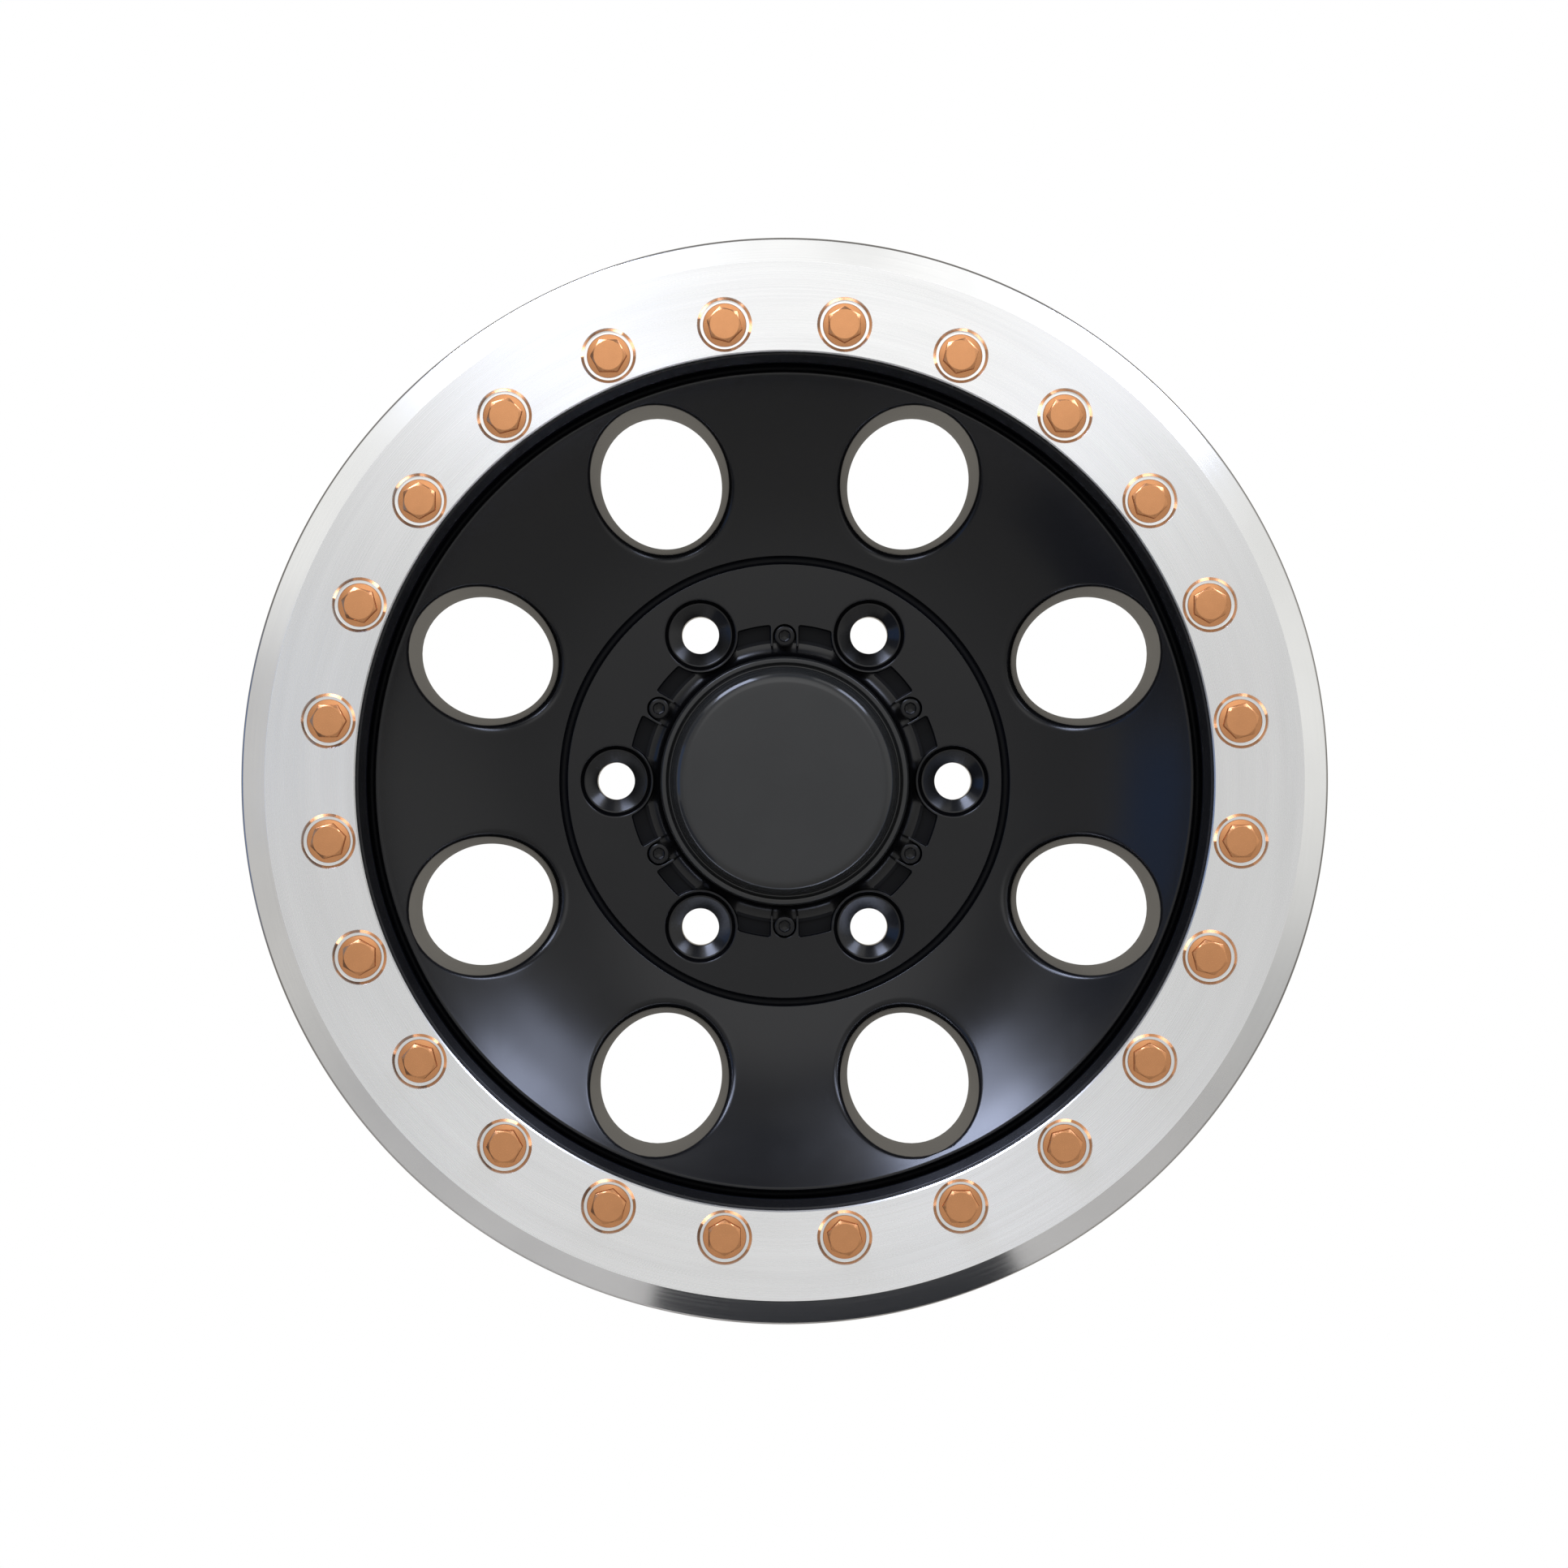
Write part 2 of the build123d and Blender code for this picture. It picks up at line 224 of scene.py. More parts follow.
class Skin:
    """Gathers closed loops of points into one welded, closed mesh."""

    def __init__(self) -> None:
        """Starts an empty skin."""
        self.points: list[np.ndarray] = []
        self.faces: list[tuple[int, ...]] = []
        self.kinds: list[int] = []
        self.count = 0

    def band(self, loops: np.ndarray, kind: int = 0) -> None:
        """Adds quads between neighbouring loops.

        Args:
            loops: Loops by points by coordinates, in metres.
            kind: Material number of the new faces.
        """
        rows, size, _ = loops.shape
        here = np.arange(size)
        after = np.roll(here, -1)
        for row in range(rows - 1):
            low = self.count + row * size
            quads = np.column_stack([low + here, low + after, low + size + after, low + size + here])
            self.faces.extend(map(tuple, quads.tolist()))
        self.kinds.extend([kind] * (size * (rows - 1)))
        self.points.append(loops.reshape(-1, 3))
        self.count += rows * size

    def plug(self, loops: np.ndarray) -> None:
        """Adds a band that is closed by a flat face at both ends.

        Args:
            loops: Loops by points by coordinates, in metres.
        """
        self.band(loops)
        for loop in (loops[0], loops[-1]):
            self.faces.append(tuple(range(self.count, self.count + len(loop))))
            self.kinds.append(0)
            self.points.append(loop)
            self.count += len(loop)

    def mesh(self, name: str) -> Mesh:
        """Welds the skin and turns its faces outwards.

        Args:
            name: Name of the mesh.

        Returns:
            The closed mesh.
        """
        mesh = bpy.data.meshes.new(name)
        mesh.from_pydata(np.concatenate(self.points).tolist(), [], self.faces)
        numbered(mesh, self.kinds)
        shape = bmesh.new()
        shape.from_mesh(mesh)
        bmesh.ops.remove_doubles(shape, verts=shape.verts, dist=WELD)
        bmesh.ops.recalc_face_normals(shape, faces=shape.faces)
        shape.to_mesh(mesh)
        shape.free()
        return mesh


def shown(name: str, mesh: Mesh) -> Thing:
    """Puts a mesh into the scene.

    Args:
        name: Name of the object.
        mesh: Its mesh.

    Returns:
        The new object, at the origin.
    """
    thing = bpy.data.objects.new(name, mesh)
    bpy.context.scene.collection.objects.link(thing)
    return thing


def settled(thing: Thing) -> Mesh:
    """The plain mesh that an object has after its modifiers.

    Args:
        thing: An object with live modifiers.

    Returns:
        A new mesh with the modifiers' work in it.
    """
    bpy.context.view_layer.update()
    graph = bpy.context.evaluated_depsgraph_get()
    return bpy.data.meshes.new_from_object(thing.evaluated_get(graph), depsgraph=graph)


def carved(block: Mesh, tools: Sequence[Mesh]) -> Mesh:
    """Cuts tools out of a block, one after the other.

    Args:
        block: Closed mesh to cut.
        tools: Closed meshes to take away.

    Returns:
        The cut mesh.
    """
    for tool in tools:
        target = shown("carving", block)
        cutter = shown("cutter", tool)
        step = target.modifiers.new("cut", "BOOLEAN")
        step.operation = "DIFFERENCE"
        step.solver = "EXACT"
        step.object = cutter
        block = settled(target)
        for thing in (target, cutter):
            bpy.data.objects.remove(thing)
    return block


def drills(path: Sequence[Spot], circle: Circle, steps: int) -> Mesh:
    """Turned cutters on a circle.

    Args:
        path: Radius and station of each cutter's section.
        circle: Where the cutters stand.
        steps: Points round each cutter.

    Returns:
        One mesh with all of them.
    """
    skin = Skin()
    for angle in circle.angles():
        shift = np.array([circle.radius * cos(angle), 0, circle.radius * sin(angle)]) * MM
        skin.plug(spun(path, steps) + shift)
    return skin.mesh("drills")


def poured(shape: bmesh.types.BMesh, name: str) -> Mesh:
    """Makes a named mesh of a shape and frees the shape.

    Args:
        shape: The shape.
        name: Name of the mesh.

    Returns:
        The mesh.
    """
    mesh = bpy.data.meshes.new(name)
    shape.to_mesh(mesh)
    shape.free()
    return mesh


def merged(meshes: Sequence[Mesh], name: str) -> Mesh:
    """Joins meshes into one without welding them to each other.

    Args:
        meshes: Meshes with the same material order.
        name: Name of the joined mesh.

    Returns:
        One mesh.
    """
    shape = bmesh.new()
    for mesh in meshes:
        shape.from_mesh(mesh)
    return poured(shape, name)


def marked(mesh: Mesh, kind: int, inside: Callable[..., np.ndarray]) -> None:
    """Gives the faces of one region a material number.

    Args:
        mesh: Mesh to mark.
        kind: Material number.
        inside: Tells from the radii, stations and bearings of faces which lie in the region.
    """
    centers = np.empty(len(mesh.polygons) * 3)
    mesh.polygons.foreach_get("center", centers)
    x, station, z = centers.reshape(-1, 3).T / MM
    kinds = np.empty(len(mesh.polygons), dtype=np.int32)
    mesh.polygons.foreach_get("material_index", kinds)
    kinds[inside(np.hypot(x, z), station, np.arctan2(z, x))] = kind
    numbered(mesh, kinds)


def turned_map(mesh: Mesh) -> None:
    """Gives a mesh a UV map whose U runs outwards from the axle and whose V runs round it.

    Args:
        mesh: Mesh in the wheel's frame.
    """
    places = np.empty(len(mesh.vertices) * 3)
    mesh.vertices.foreach_get("co", places)
    places = places.reshape(-1, 3)
    corners = np.empty(len(mesh.loops), dtype=int)
    mesh.loops.foreach_get("vertex_index", corners)
    sizes = np.empty(len(mesh.polygons), dtype=int)
    mesh.polygons.foreach_get("loop_total", sizes)
    first = np.repeat(np.cumsum(sizes) - sizes, sizes)
    angle = np.arctan2(places[:, 2], places[:, 0])[corners]
    start = angle[first]
    angle = start + (angle - start + pi) % (2 * pi) - pi
    radius = np.hypot(places[:, 0], places[:, 2])[corners]
    flat = np.column_stack([radius, angle * UV_PER_RADIAN])
    mesh.uv_layers.new(name=UV_MAP).data.foreach_set("uv", flat.ravel().astype(np.float32))


def dressed(name: str, mesh: Mesh, node: str, finishes: Sequence[Finish], crease: float) -> Thing:
    """Makes a finished piece of a mesh: shading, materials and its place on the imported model.

    Args:
        name: Name of the piece.
        mesh: Its closed mesh.
        node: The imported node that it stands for.
        finishes: Materials in the order of the faces' material numbers.
        crease: Angle in degrees above which an edge stays sharp.

    Returns:
        The piece.
    """
    for finish in finishes[len(mesh.materials):]:
        mesh.materials.append(finish)
    mesh.shade_smooth()
    mesh.set_sharp_from_angle(angle=radians(crease))
    piece = shown(name, mesh)
    even = piece.modifiers.new("even_normals", "WEIGHTED_NORMAL")
    even.keep_sharp = True
    piece.data = settled(piece)
    piece.modifiers.clear()
    turned_map(piece.data)
    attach(piece, BODY)
    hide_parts(node)
    triangles = sum(len(face.vertices) - 2 for face in piece.data.polygons)
    kinds = np.bincount([face.material_index for face in piece.data.polygons])
    LOG.info("%s: %d triangles, faces by finish %s", name, triangles, kinds.tolist())
    return piece


class Tree:
    """A node tree, with short calls for its nodes."""

    def __init__(self, tree: bpy.types.NodeTree) -> None:
        """Takes a tree over, to add nodes to it."""
        self.nodes, self.links = tree.nodes, tree.links

    def put(self, socket: Socket, value: object) -> None:
        """Sets a socket's value, or links another socket to it."""
        if isinstance(value, Socket):
            self.links.new(value, socket)
        else:
            socket.default_value = value

    def add(
        self, kind: str, inputs: dict[str | int, object] | None = None, out: str | int = 0, **settings: object
    ) -> Socket:
        """Adds a node.

        Args:
            kind: Node type.
            inputs: Values, or sockets to link, by the input's name or number.
            out: Name or number of the output that is wanted.
            settings: The node's own settings.

        Returns:
            The output.
        """
        node = self.nodes.new(kind)
        for name, value in settings.items():
            setattr(node, name, value)
        for key, value in (inputs or {}).items():
            self.put(node.inputs[key], value)
        return node.outputs[out]


class Coat(Tree):
    """A material's tree with one Principled shader, and short calls for what the finishes share."""

    def __init__(self, name: str, **inputs: object) -> None:
        """Starts a material.

        Args:
            name: Name of the material.
            inputs: Values of the shader's inputs, with spaces as underscores.
        """
        self.material = bpy.data.materials.new(name)
        self.material.use_nodes = True
        super().__init__(self.material.node_tree)
        self.shader = next(node for node in self.nodes if node.type == "BSDF_PRINCIPLED")
        for label, value in inputs.items():
            self.wear(label.replace("_", " "), value)

    @cached_property
    def place(self) -> Socket:
        """Object coordinates."""
        return self.add("ShaderNodeTexCoord", out="Object")

    def wear(self, name: str, value: object) -> None:
        """Sets or links one of the shader's inputs."""
        self.put(self.shader.inputs[name], value)

    def end(self, shader: Socket) -> Finish:
        """Puts another shader in the Principled one's place.

        Args:
            shader: Output of that shader.

        Returns:
            The material.
        """
        self.nodes.remove(self.shader)
        last = next(node for node in self.nodes if node.type == "OUTPUT_MATERIAL")
        self.links.new(shader, last.inputs["Surface"])
        return self.material

    def math(self, operation: str, *values: object) -> Socket:
        """A math node's result, from numbers or sockets."""
        return self.add("ShaderNodeMath", dict(enumerate(values)), operation=operation)

    def vector(self, operation: str, *values: object, out: str = "Vector") -> Socket:
        """A vector math node's result, from vectors or sockets."""
        return self.add("ShaderNodeVectorMath", dict(enumerate(values)), out, operation=operation)

    def fade(self, value: Socket, start: float, end: float, low: float = 0.0) -> Socket:
        """A share that rises smoothly from low to one, while a value goes from start to end."""
        inputs = {"Value": value, "From Min": start, "From Max": end, "To Min": low}
        return self.add("ShaderNodeMapRange", inputs, "Result", interpolation_type="SMOOTHSTEP")

    def spread(self, noise: Socket, low: float, high: float) -> Socket:
        """Maps a noise's middle range, 0.3 to 0.7, to two limits."""
        inputs = {"Value": noise, "From Min": 0.3, "From Max": 0.7, "To Min": low, "To Max": high}
        return self.add("ShaderNodeMapRange", inputs, "Result")

    def noise(self, vector: Socket, scale: float, detail: float) -> Socket:
        """A noise texture's value at a vector, with its cells in a unit of length and its finer layers."""
        return self.add("ShaderNodeTexNoise", {"Vector": vector, "Scale": scale, "Detail": detail})

    def mix(self, factor: Socket, dark: Color, light: Color) -> Socket:
        """A colour that wanders between two colours."""
        inputs = {"Factor": factor, "A": (*dark, 1.0), "B": (*light, 1.0)}
        return self.add("ShaderNodeMix", inputs, "Result", data_type="RGBA")

    def rings(self, around: float, across: float) -> Socket:
        """Coordinates that follow the marks of turning about the axle.

        Args:
            around: Cells along a mark, for each radian.
            across: Cells across the marks, for each metre.

        Returns:
            A vector.
        """
        x = self.add("ShaderNodeSeparateXYZ", {0: self.place}, "X")
        z = self.add("ShaderNodeSeparateXYZ", {0: self.place}, "Z")
        radius = self.math("SQRT", self.math("ADD", self.math("POWER", x, 2.0), self.math("POWER", z, 2.0)))
        unit = self.vector("NORMALIZE", self.add("ShaderNodeCombineXYZ", {"X": x, "Z": z}))
        scaled = self.add("ShaderNodeVectorMath", {0: unit, "Scale": around}, operation="SCALE")
        depth = self.add("ShaderNodeCombineXYZ", {"Y": self.math("MULTIPLY", radius, across)})
        return self.vector("ADD", scaled, depth)

    def bump(self, height: Socket, strength: float, distance: float) -> None:
        """Gives the shader a bump of a strength and a height in metres."""
        inputs = {"Height": height, "Strength": strength, "Distance": distance}
        self.wear("Normal", self.add("ShaderNodeBump", inputs))


def shade(color: Color, factor: float) -> Color:
    """A colour made darker or lighter by a factor."""
    return tuple(min(1.0, part * factor) for part in color)


@dataclass(frozen=True)
class Paint:
    """A satin coat of paint with a slight orange peel."""

    name: str
    color: Color
    roughness: float
    specular: float = 0.5
    peel: float = 0.05
    peel_height: float = 0.00004
    cloud_scale: float = 45.0
    peel_scale: float = 1500.0
    wander: float = 0.02

    def material(self) -> Finish:
        """Builds the paint's material.

        Returns:
            The material.
        """
        coat = Coat(self.name, Metallic=0.0, Specular_IOR_Level=self.specular)
        cloud = coat.noise(coat.place, self.cloud_scale, 4.0)
        coat.wear("Base Color", coat.mix(cloud, shade(self.color, 0.9), shade(self.color, 1.12)))
        coat.wear("Roughness", coat.spread(cloud, self.roughness - self.wander, self.roughness + self.wander))
        coat.bump(coat.noise(coat.place, self.peel_scale, 2.0), self.peel, self.peel_height)
        return coat.material


class Marks(Enum):
    """How a metal surface was finished."""

    BRUSHED = "brushed"
    POLISHED = "polished"
    PLATED = "plated"


@dataclass(frozen=True)
class Metal:
    """A bare or plated metal with the marks of its finishing."""

    name: str
    color: Color
    roughness: float
    marks: Marks
    anisotropic: float = 0.0

    def material(self) -> Finish:
        """Builds the metal's material.

        Returns:
            The material.
        """
        coat = Coat(self.name, Metallic=1.0, Anisotropic=self.anisotropic)
        if self.marks is Marks.BRUSHED:
            fine = coat.noise(coat.rings(1.6, 2600.0), 1.0, 4.0)
            broad = coat.noise(coat.rings(2.4, 160.0), 1.0, 3.0)
            coat.bump(fine, 0.12, 0.00003)
        elif self.marks is Marks.POLISHED:
            fine = coat.noise(coat.rings(3.0, 1800.0), 1.0, 2.0)
            broad = coat.noise(coat.place, 30.0, 3.0)
            coat.bump(fine, 0.02, 0.00002)
        else:
            fine = coat.noise(coat.place, 2500.0, 3.0)
            broad = coat.noise(coat.place, 220.0, 3.0)
            coat.bump(fine, 0.05, 0.00002)
        cloud = coat.spread(broad, 0.0, 1.0)
        coat.wear("Base Color", coat.mix(cloud, shade(self.color, 0.96), shade(self.color, 1.02)))
        coat.wear("Roughness", coat.spread(fine, self.roughness * 0.88, self.roughness * 1.12))
        if self.anisotropic:
            coat.wear("Tangent", coat.add("ShaderNodeTangent", direction_type="UV_MAP", uv_map=UV_MAP))
        return coat.material


@dataclass(frozen=True)
class Bowl:
    """An arc of the disc's section, between two points, hollow towards the front."""

    start: Spot
    end: Spot
    sagitta: float

    def station(self, radius: Value) -> Value:
        """Stations of points on the arc.

        Args:
            radius: Radii from the axle.

        Returns:
            Their stations.
        """
        run = Vector(self.end) - Vector(self.start)
        reach = run.length ** 2 / (8 * self.sagitta) + self.sagitta / 2
        back = Vector((-run.y, run.x)).normalized()
        middle = (Vector(self.start) + Vector(self.end)) / 2
        centre = middle + back * (self.sagitta - reach)
        return centre.y + np.sqrt(reach ** 2 - (radius - centre.x) ** 2)


@dataclass(frozen=True)
class Sector:
    """One share of an annulus, with an opening in its middle."""

    inner: float
    outer: float
    axes: Circle
    arc_steps: int
    side_steps: int

    def rim(self) -> tuple[np.ndarray, np.ndarray]:
        """Where points on the sector's rim lie from the opening's axis.

        Returns:
            Headings in radians and distances.
        """
        half = pi / self.axes.count
        across = np.linspace(-half, half, self.arc_steps + 1)
        along = np.linspace(self.inner, self.outer, self.side_steps + 1)
        side = np.full(self.side_steps, half)
        bearing = np.concatenate([across[:-1], side, across[:0:-1], -side])
        inside = np.full(self.arc_steps, self.inner)
        outside = np.full(self.arc_steps, self.outer)
        radius = np.concatenate([inside, along[:-1], outside, along[:0:-1]])
        outward = radius * np.cos(bearing) - self.axes.radius
        aside = radius * np.sin(bearing)
        return np.unwrap(np.arctan2(aside, outward)), np.hypot(outward, aside)

    def radius(self, heading: np.ndarray, reach: Value) -> np.ndarray:
        """Radii from the axle of points round the opening's axis."""
        return np.hypot(self.axes.radius + reach * np.cos(heading), reach * np.sin(heading))

    def repeated(self, skin: Skin, rows: Sequence[Row], kind: int = 0) -> None:
        """Adds the rows round each opening of the annulus to a skin.

        Args:
            skin: Skin to add to.
            rows: Heading, reach and station of the points of each loop.
            kind: Material number of the new faces.
        """
        for index in range(self.axes.count):
            middle = (2 * index + 1) * pi / self.axes.count
            loops = []
            for heading, reach, station in rows:
                outward = self.axes.radius + reach * np.cos(heading)
                aside = reach * np.sin(heading)
                x = outward * cos(middle) - aside * sin(middle)
                z = outward * sin(middle) + aside * cos(middle)
                loops.append(np.column_stack([x, station + 0 * x, z]))
            skin.band(np.array(loops) * MM, kind)

    def wall(self, path: Sequence[Spot]) -> list[Row]:
        """Rows of a round opening's wall, from radii round its axis and stations in mm."""
        heading, rim = self.rim()
        return [(heading, radius + 0 * rim, y + 0 * rim) for radius, y in path]

    def drilled(self, path: Sequence[Spot], spread: int) -> list[Row]:
        """Rows from the rim to a round opening and along its wall.

        Args:
            path: Radius round the opening's axis and station of the wall's points.
            spread: Loops on the flat face.

        Returns:
            The rows, for repeated.
        """
        heading, rim = self.rim()
        first, station = path[0]
        shares = np.linspace(0, 1, spread)
        rows = [(heading, rim + (first - rim) * share, station + 0 * rim) for share in shares]
        return rows + self.wall(path[1:])


@dataclass
class WheelBody:
    """The cast wheel: barrel, dished disc with its windows, and hub.

    The barrel's section runs from the bead slot round the rear flange to the disc, with a fillet for
    each corner. A lug's mouth has stations from the hub's face, and its seat goes on from there.
    """

    steps: int = 288
    hub_steps: int = 240
    lug_steps: int = 96
    hole_steps: int = 24
    edge_rows: int = 8
    hub_y: float = -22.0
    hub_face_radius: float = 89.9
    groove_radius: float = 93.2
    groove_floor_y: float = -18.5
    groove_lip: float = 0.4
    groove_corner: float = 1.5
    seam_radius: float = 91.5
    flank_top: Spot = (96.0, -7.0)
    flank_foot: Spot = (88.0, 0.0)
    bore_radius: float = 46.55
    bore_chamfer: float = 1.5
    disc_radius: float = 167.5
    disc_edge_y: float = -62.0
    disc_edge_fillet: float = 1.0
    moat_radius: float = 170.8
    moat_y: float = -50.0
    moat_corner: float = 1.5
    lip_foot: Corner = (170.8, -62.2, 0.8)
    lip_top: Corner = (174.0, -66.0, 0.6)
    disc_hollow: float = 5.6
    back_edge: Spot = (177.5, -44.0)
    back_corner: float = 8.0
    back_hollow: float = 2.8
    front_rim: Spot = (95.0, 164.5)
    back_rim: Spot = (97.5, 165.0)
    window_sides: int = 26
    window_reach: Spot = (26.82, 24.54)
    window_slope: Spot = (0.204, 0.268)
    window_edge: float = 3.6
    window_back_edge: float = 1.2
    window_rows: tuple[int, int] = (11, 6)
    wall_shares: Spot = (0.33, 0.67)
    clamp_y: float = -66.0
    clamp_rim: Spot = (176.0, 200.5)
    bolt_hole: float = 4.05
    bolt_hole_end: float = -43.0
    bolt_hole_sides: int = 8
    bolt_hole_rows: int = 4
    barrel: tuple[Corner, ...] = (
        (202.8, -66.0, 0.8), (202.8, -47.0, 2.5), (211.0, -47.0, 2.0), (211.0, -41.0, 2.0),
        (184.0, -23.0, 8.0), (184.0, 19.0, 8.0), (197.2, 37.0, 8.0), (197.2, 101.0, 8.0),
        (202.2, 107.0, 2.0), (200.9, 113.0, 2.0), (202.8, 140.0, 6.0), (220.3, 140.0, 3.0),
        (220.3, 151.0, 3.0), (196.3, 145.5, 3.0), (190.7, 113.0, 8.0), (190.7, 37.0, 8.0),
        (177.5, 19.0, 8.0),
    )
    lug_boss: float = 15.6
    lug_mouth: tuple[Spot, ...] = ((15.4, -3.0), (15.4, -0.02), (14.9, 0.08), (14.55, 0.3), (14.35, 0.7))
    lug_seat: tuple[Spot, ...] = (
        (13.3, -19.6), (13.1, -19.3), (12.8, -19.22), (12.4, -19.1), (8.0, -16.13), (7.75, -15.8),
        (7.7, -15.4), (7.7, 3.0),
    )
    pocket_radius: float = 64.85
    pocket_y: float = -16.8
    pocket_edge: float = 0.3
    pocket_corner: float = 0.7
    pad_tip: float = 55.8
    pad_half_width: float = 5.8
    pad_edge: float = 0.35
    pad_corner: float = 0.9
    notch: float = 4.8
    fillet_gap: float = 0.02
    boss_gap: float = 0.06
    tool_rise: float = 3.0
    hole_rise: float = 2.0
    screw_hole: float = 2.55
    screw_hole_end: float = -3.9
    hollow_circle: float = 75.0
    hollow_half_width: float = 7.0
    hollow_half_spread: float = radians(10)
    hollow_levels: tuple[Spot, ...] = ((0.0, 3.0), (0.0, -8.0), (-1.0, -9.0))
    groove_reach: float = 1.75
    groove_edge: float = 0.3
    groove_end_y: float = -12.0
    moat_reach: Spot = (0.05, 0.6)
    moat_end_y: float = -40.0
    floor_reach: Spot = (0.5, 0.6)
    seat_reach: float = 14.6
    seat_edge: float = 0.05
    seat_end_y: float = -2.0

    def front(self) -> Bowl:
        """The disc's front surface."""
        return Bowl((self.groove_radius, self.hub_y), (self.disc_radius, self.disc_edge_y), self.disc_hollow)

    def back(self) -> Bowl:
        """The disc's rear surface."""
        return Bowl(self.flank_top, self.back_edge, self.back_hollow)

    def seam_y(self) -> float:
        """Station where the seam between casting and hub meets the hub's flank."""
        share = (self.flank_top[0] - self.seam_radius) / (self.flank_top[0] - self.flank_foot[0])
        return self.flank_top[1] * (1 - share)

    def window_slopes(self, heading: np.ndarray) -> np.ndarray:
        """Draft of a window's wall, less on the side away from the axle."""
        outer, inner = self.window_slope
        return inner + (outer - inner) * ((1 + np.cos(heading)) / 2) ** 2

    def window_wall(self, heading: np.ndarray, station: np.ndarray) -> np.ndarray:
        """Distance from a window's axis to its wall, for an opening longer along the radius.

        Args:
            heading: Headings from the window's axis, in radians.
            station: Stations along the axle.

        Returns:
            Distances.
        """
        along, across = self.window_reach
        oval = 1 / np.hypot(np.cos(heading) / along, np.sin(heading) / across)
        return oval + (self.hub_y - station) * self.window_slopes(heading)

    def window_edge_rows(
        self, sector: Sector, surface: Bowl, radius: float, inward: float, spread: int
    ) -> list[Row]:
        """Rows from a sector's rim over the disc's surface and round the soft edge into a window's wall.

        Args:
            sector: The window's share of the disc.
            surface: The disc's surface there.
            radius: Radius of the soft edge.
            inward: Direction of the wall along the axle, 1 from the front or -1 from the back.
            spread: Loops on the surface.

        Returns:
            The rows, the last one on the wall.
        """
        heading, rim = sector.rim()
        slope = self.window_slopes(heading)
        reach = np.full(len(rim), self.window_reach[0])
        for _ in range(WALL_ROUNDS):
            station = surface.station(sector.radius(heading, reach))
            reach = self.window_wall(heading, station)
        wall = np.stack([-slope, np.ones(len(rim))]) / np.hypot(slope, 1.0) * inward
        pull = np.full(len(rim), radius)
        for _ in range(EDGE_ROUNDS):
            far = reach + pull * 0.9
            run = np.stack([far - reach, surface.station(sector.radius(heading, far)) - station])
            run /= np.linalg.norm(run, axis=0)
            corner = np.arccos(np.clip(np.sum(wall * run, axis=0), -1, 1))
            pull = radius / np.tan(corner / 2)
        edge = np.stack([reach, station])
        halfway = run + wall
        halfway /= np.linalg.norm(halfway, axis=0)
        centre = edge + halfway * radius / np.sin(corner / 2)
        first = edge + run * pull - centre
        last = edge + wall * pull - centre
        turn = pi - corner
        start = edge[0] + run[0] * pull
        rows = []
        for share in np.linspace(0, 1, spread)[:-1]:
            out = rim + (start - rim) * share
            rows.append((heading, out, surface.station(sector.radius(heading, out))))
        for share in np.linspace(0, 1, self.edge_rows):
            swung = (first * np.sin((1 - share) * turn) + last * np.sin(share * turn)) / np.sin(turn)
            rows.append((heading, *(centre + swung)))
        return rows

    def windows(self, skin: Skin) -> None:
        """Adds the disc's two surfaces with its windows.

        Args:
            skin: Skin to add them to.
        """
        arc_steps = self.steps // WINDOWS.count
        front = Sector(*self.front_rim, WINDOWS, arc_steps, self.window_sides)
        back = Sector(*self.back_rim, WINDOWS, arc_steps, self.window_sides)
        many, few = self.window_rows
        ahead = self.window_edge_rows(front, self.front(), self.window_edge, 1.0, many)
        behind = self.window_edge_rows(back, self.back(), self.window_back_edge, -1.0, few)
        wall = []
        for share in self.wall_shares:
            mixed = [a + (b - a) * share for a, b in zip(ahead[-1], behind[-1])]
            mixed[1] = self.window_wall(mixed[0], mixed[2])
            wall.append(tuple(mixed))
        front.repeated(skin, ahead + wall + behind[::-1])

    def casting(self) -> Mesh:
        """The disc and barrel, from the hub's groove to the rear flange.

        Returns:
            A closed mesh, which ends at the seam in the groove.
        """
        skin = Skin()
        self.windows(skin)
        front, back = self.front(), self.back()
        inner, outer = self.front_rim
        rear_inner, rear_outer = self.back_rim
        near, far = self.clamp_rim
        lip = [
            (outer, front.station(outer), 0),
            (self.disc_radius, self.disc_edge_y, self.disc_edge_fillet),
            (self.disc_radius, self.moat_y, self.moat_corner),
            (self.moat_radius, self.moat_y, self.moat_corner),
            self.lip_foot,
            self.lip_top,
            (near, self.clamp_y, 0),
        ]
        barrel = [
            (far, self.clamp_y, 0),
            *self.barrel,
            (*self.back_edge, self.back_corner),
            (rear_outer, back.station(rear_outer), 0),
        ]
        root = [
            (inner, front.station(inner), 0),
            (self.groove_radius, self.hub_y, self.groove_lip),
            (self.groove_radius, self.groove_floor_y, self.groove_corner),
            (self.seam_radius, self.groove_floor_y, 0),
            (self.seam_radius, self.seam_y(), 0),
            (*self.flank_top, 0),
            (rear_inner, back.station(rear_inner), 0),
        ]
        skin.band(spun(rounded(lip, FILLET_STEP), self.steps))
        drilling = Sector(near, far, BOLTS, self.steps // BOLTS.count, self.bolt_hole_sides)
        hole = [(self.bolt_hole, self.clamp_y), (self.bolt_hole, self.bolt_hole_end)]
        hole.append((0.0, self.bolt_hole_end))
        drilling.repeated(skin, drilling.drilled(hole, self.bolt_hole_rows))
        skin.band(spun(rounded(barrel, BARREL_STEP), self.steps))
        skin.band(spun(rounded(root, FILLET_STEP), self.steps))
        return skin.mesh("casting")

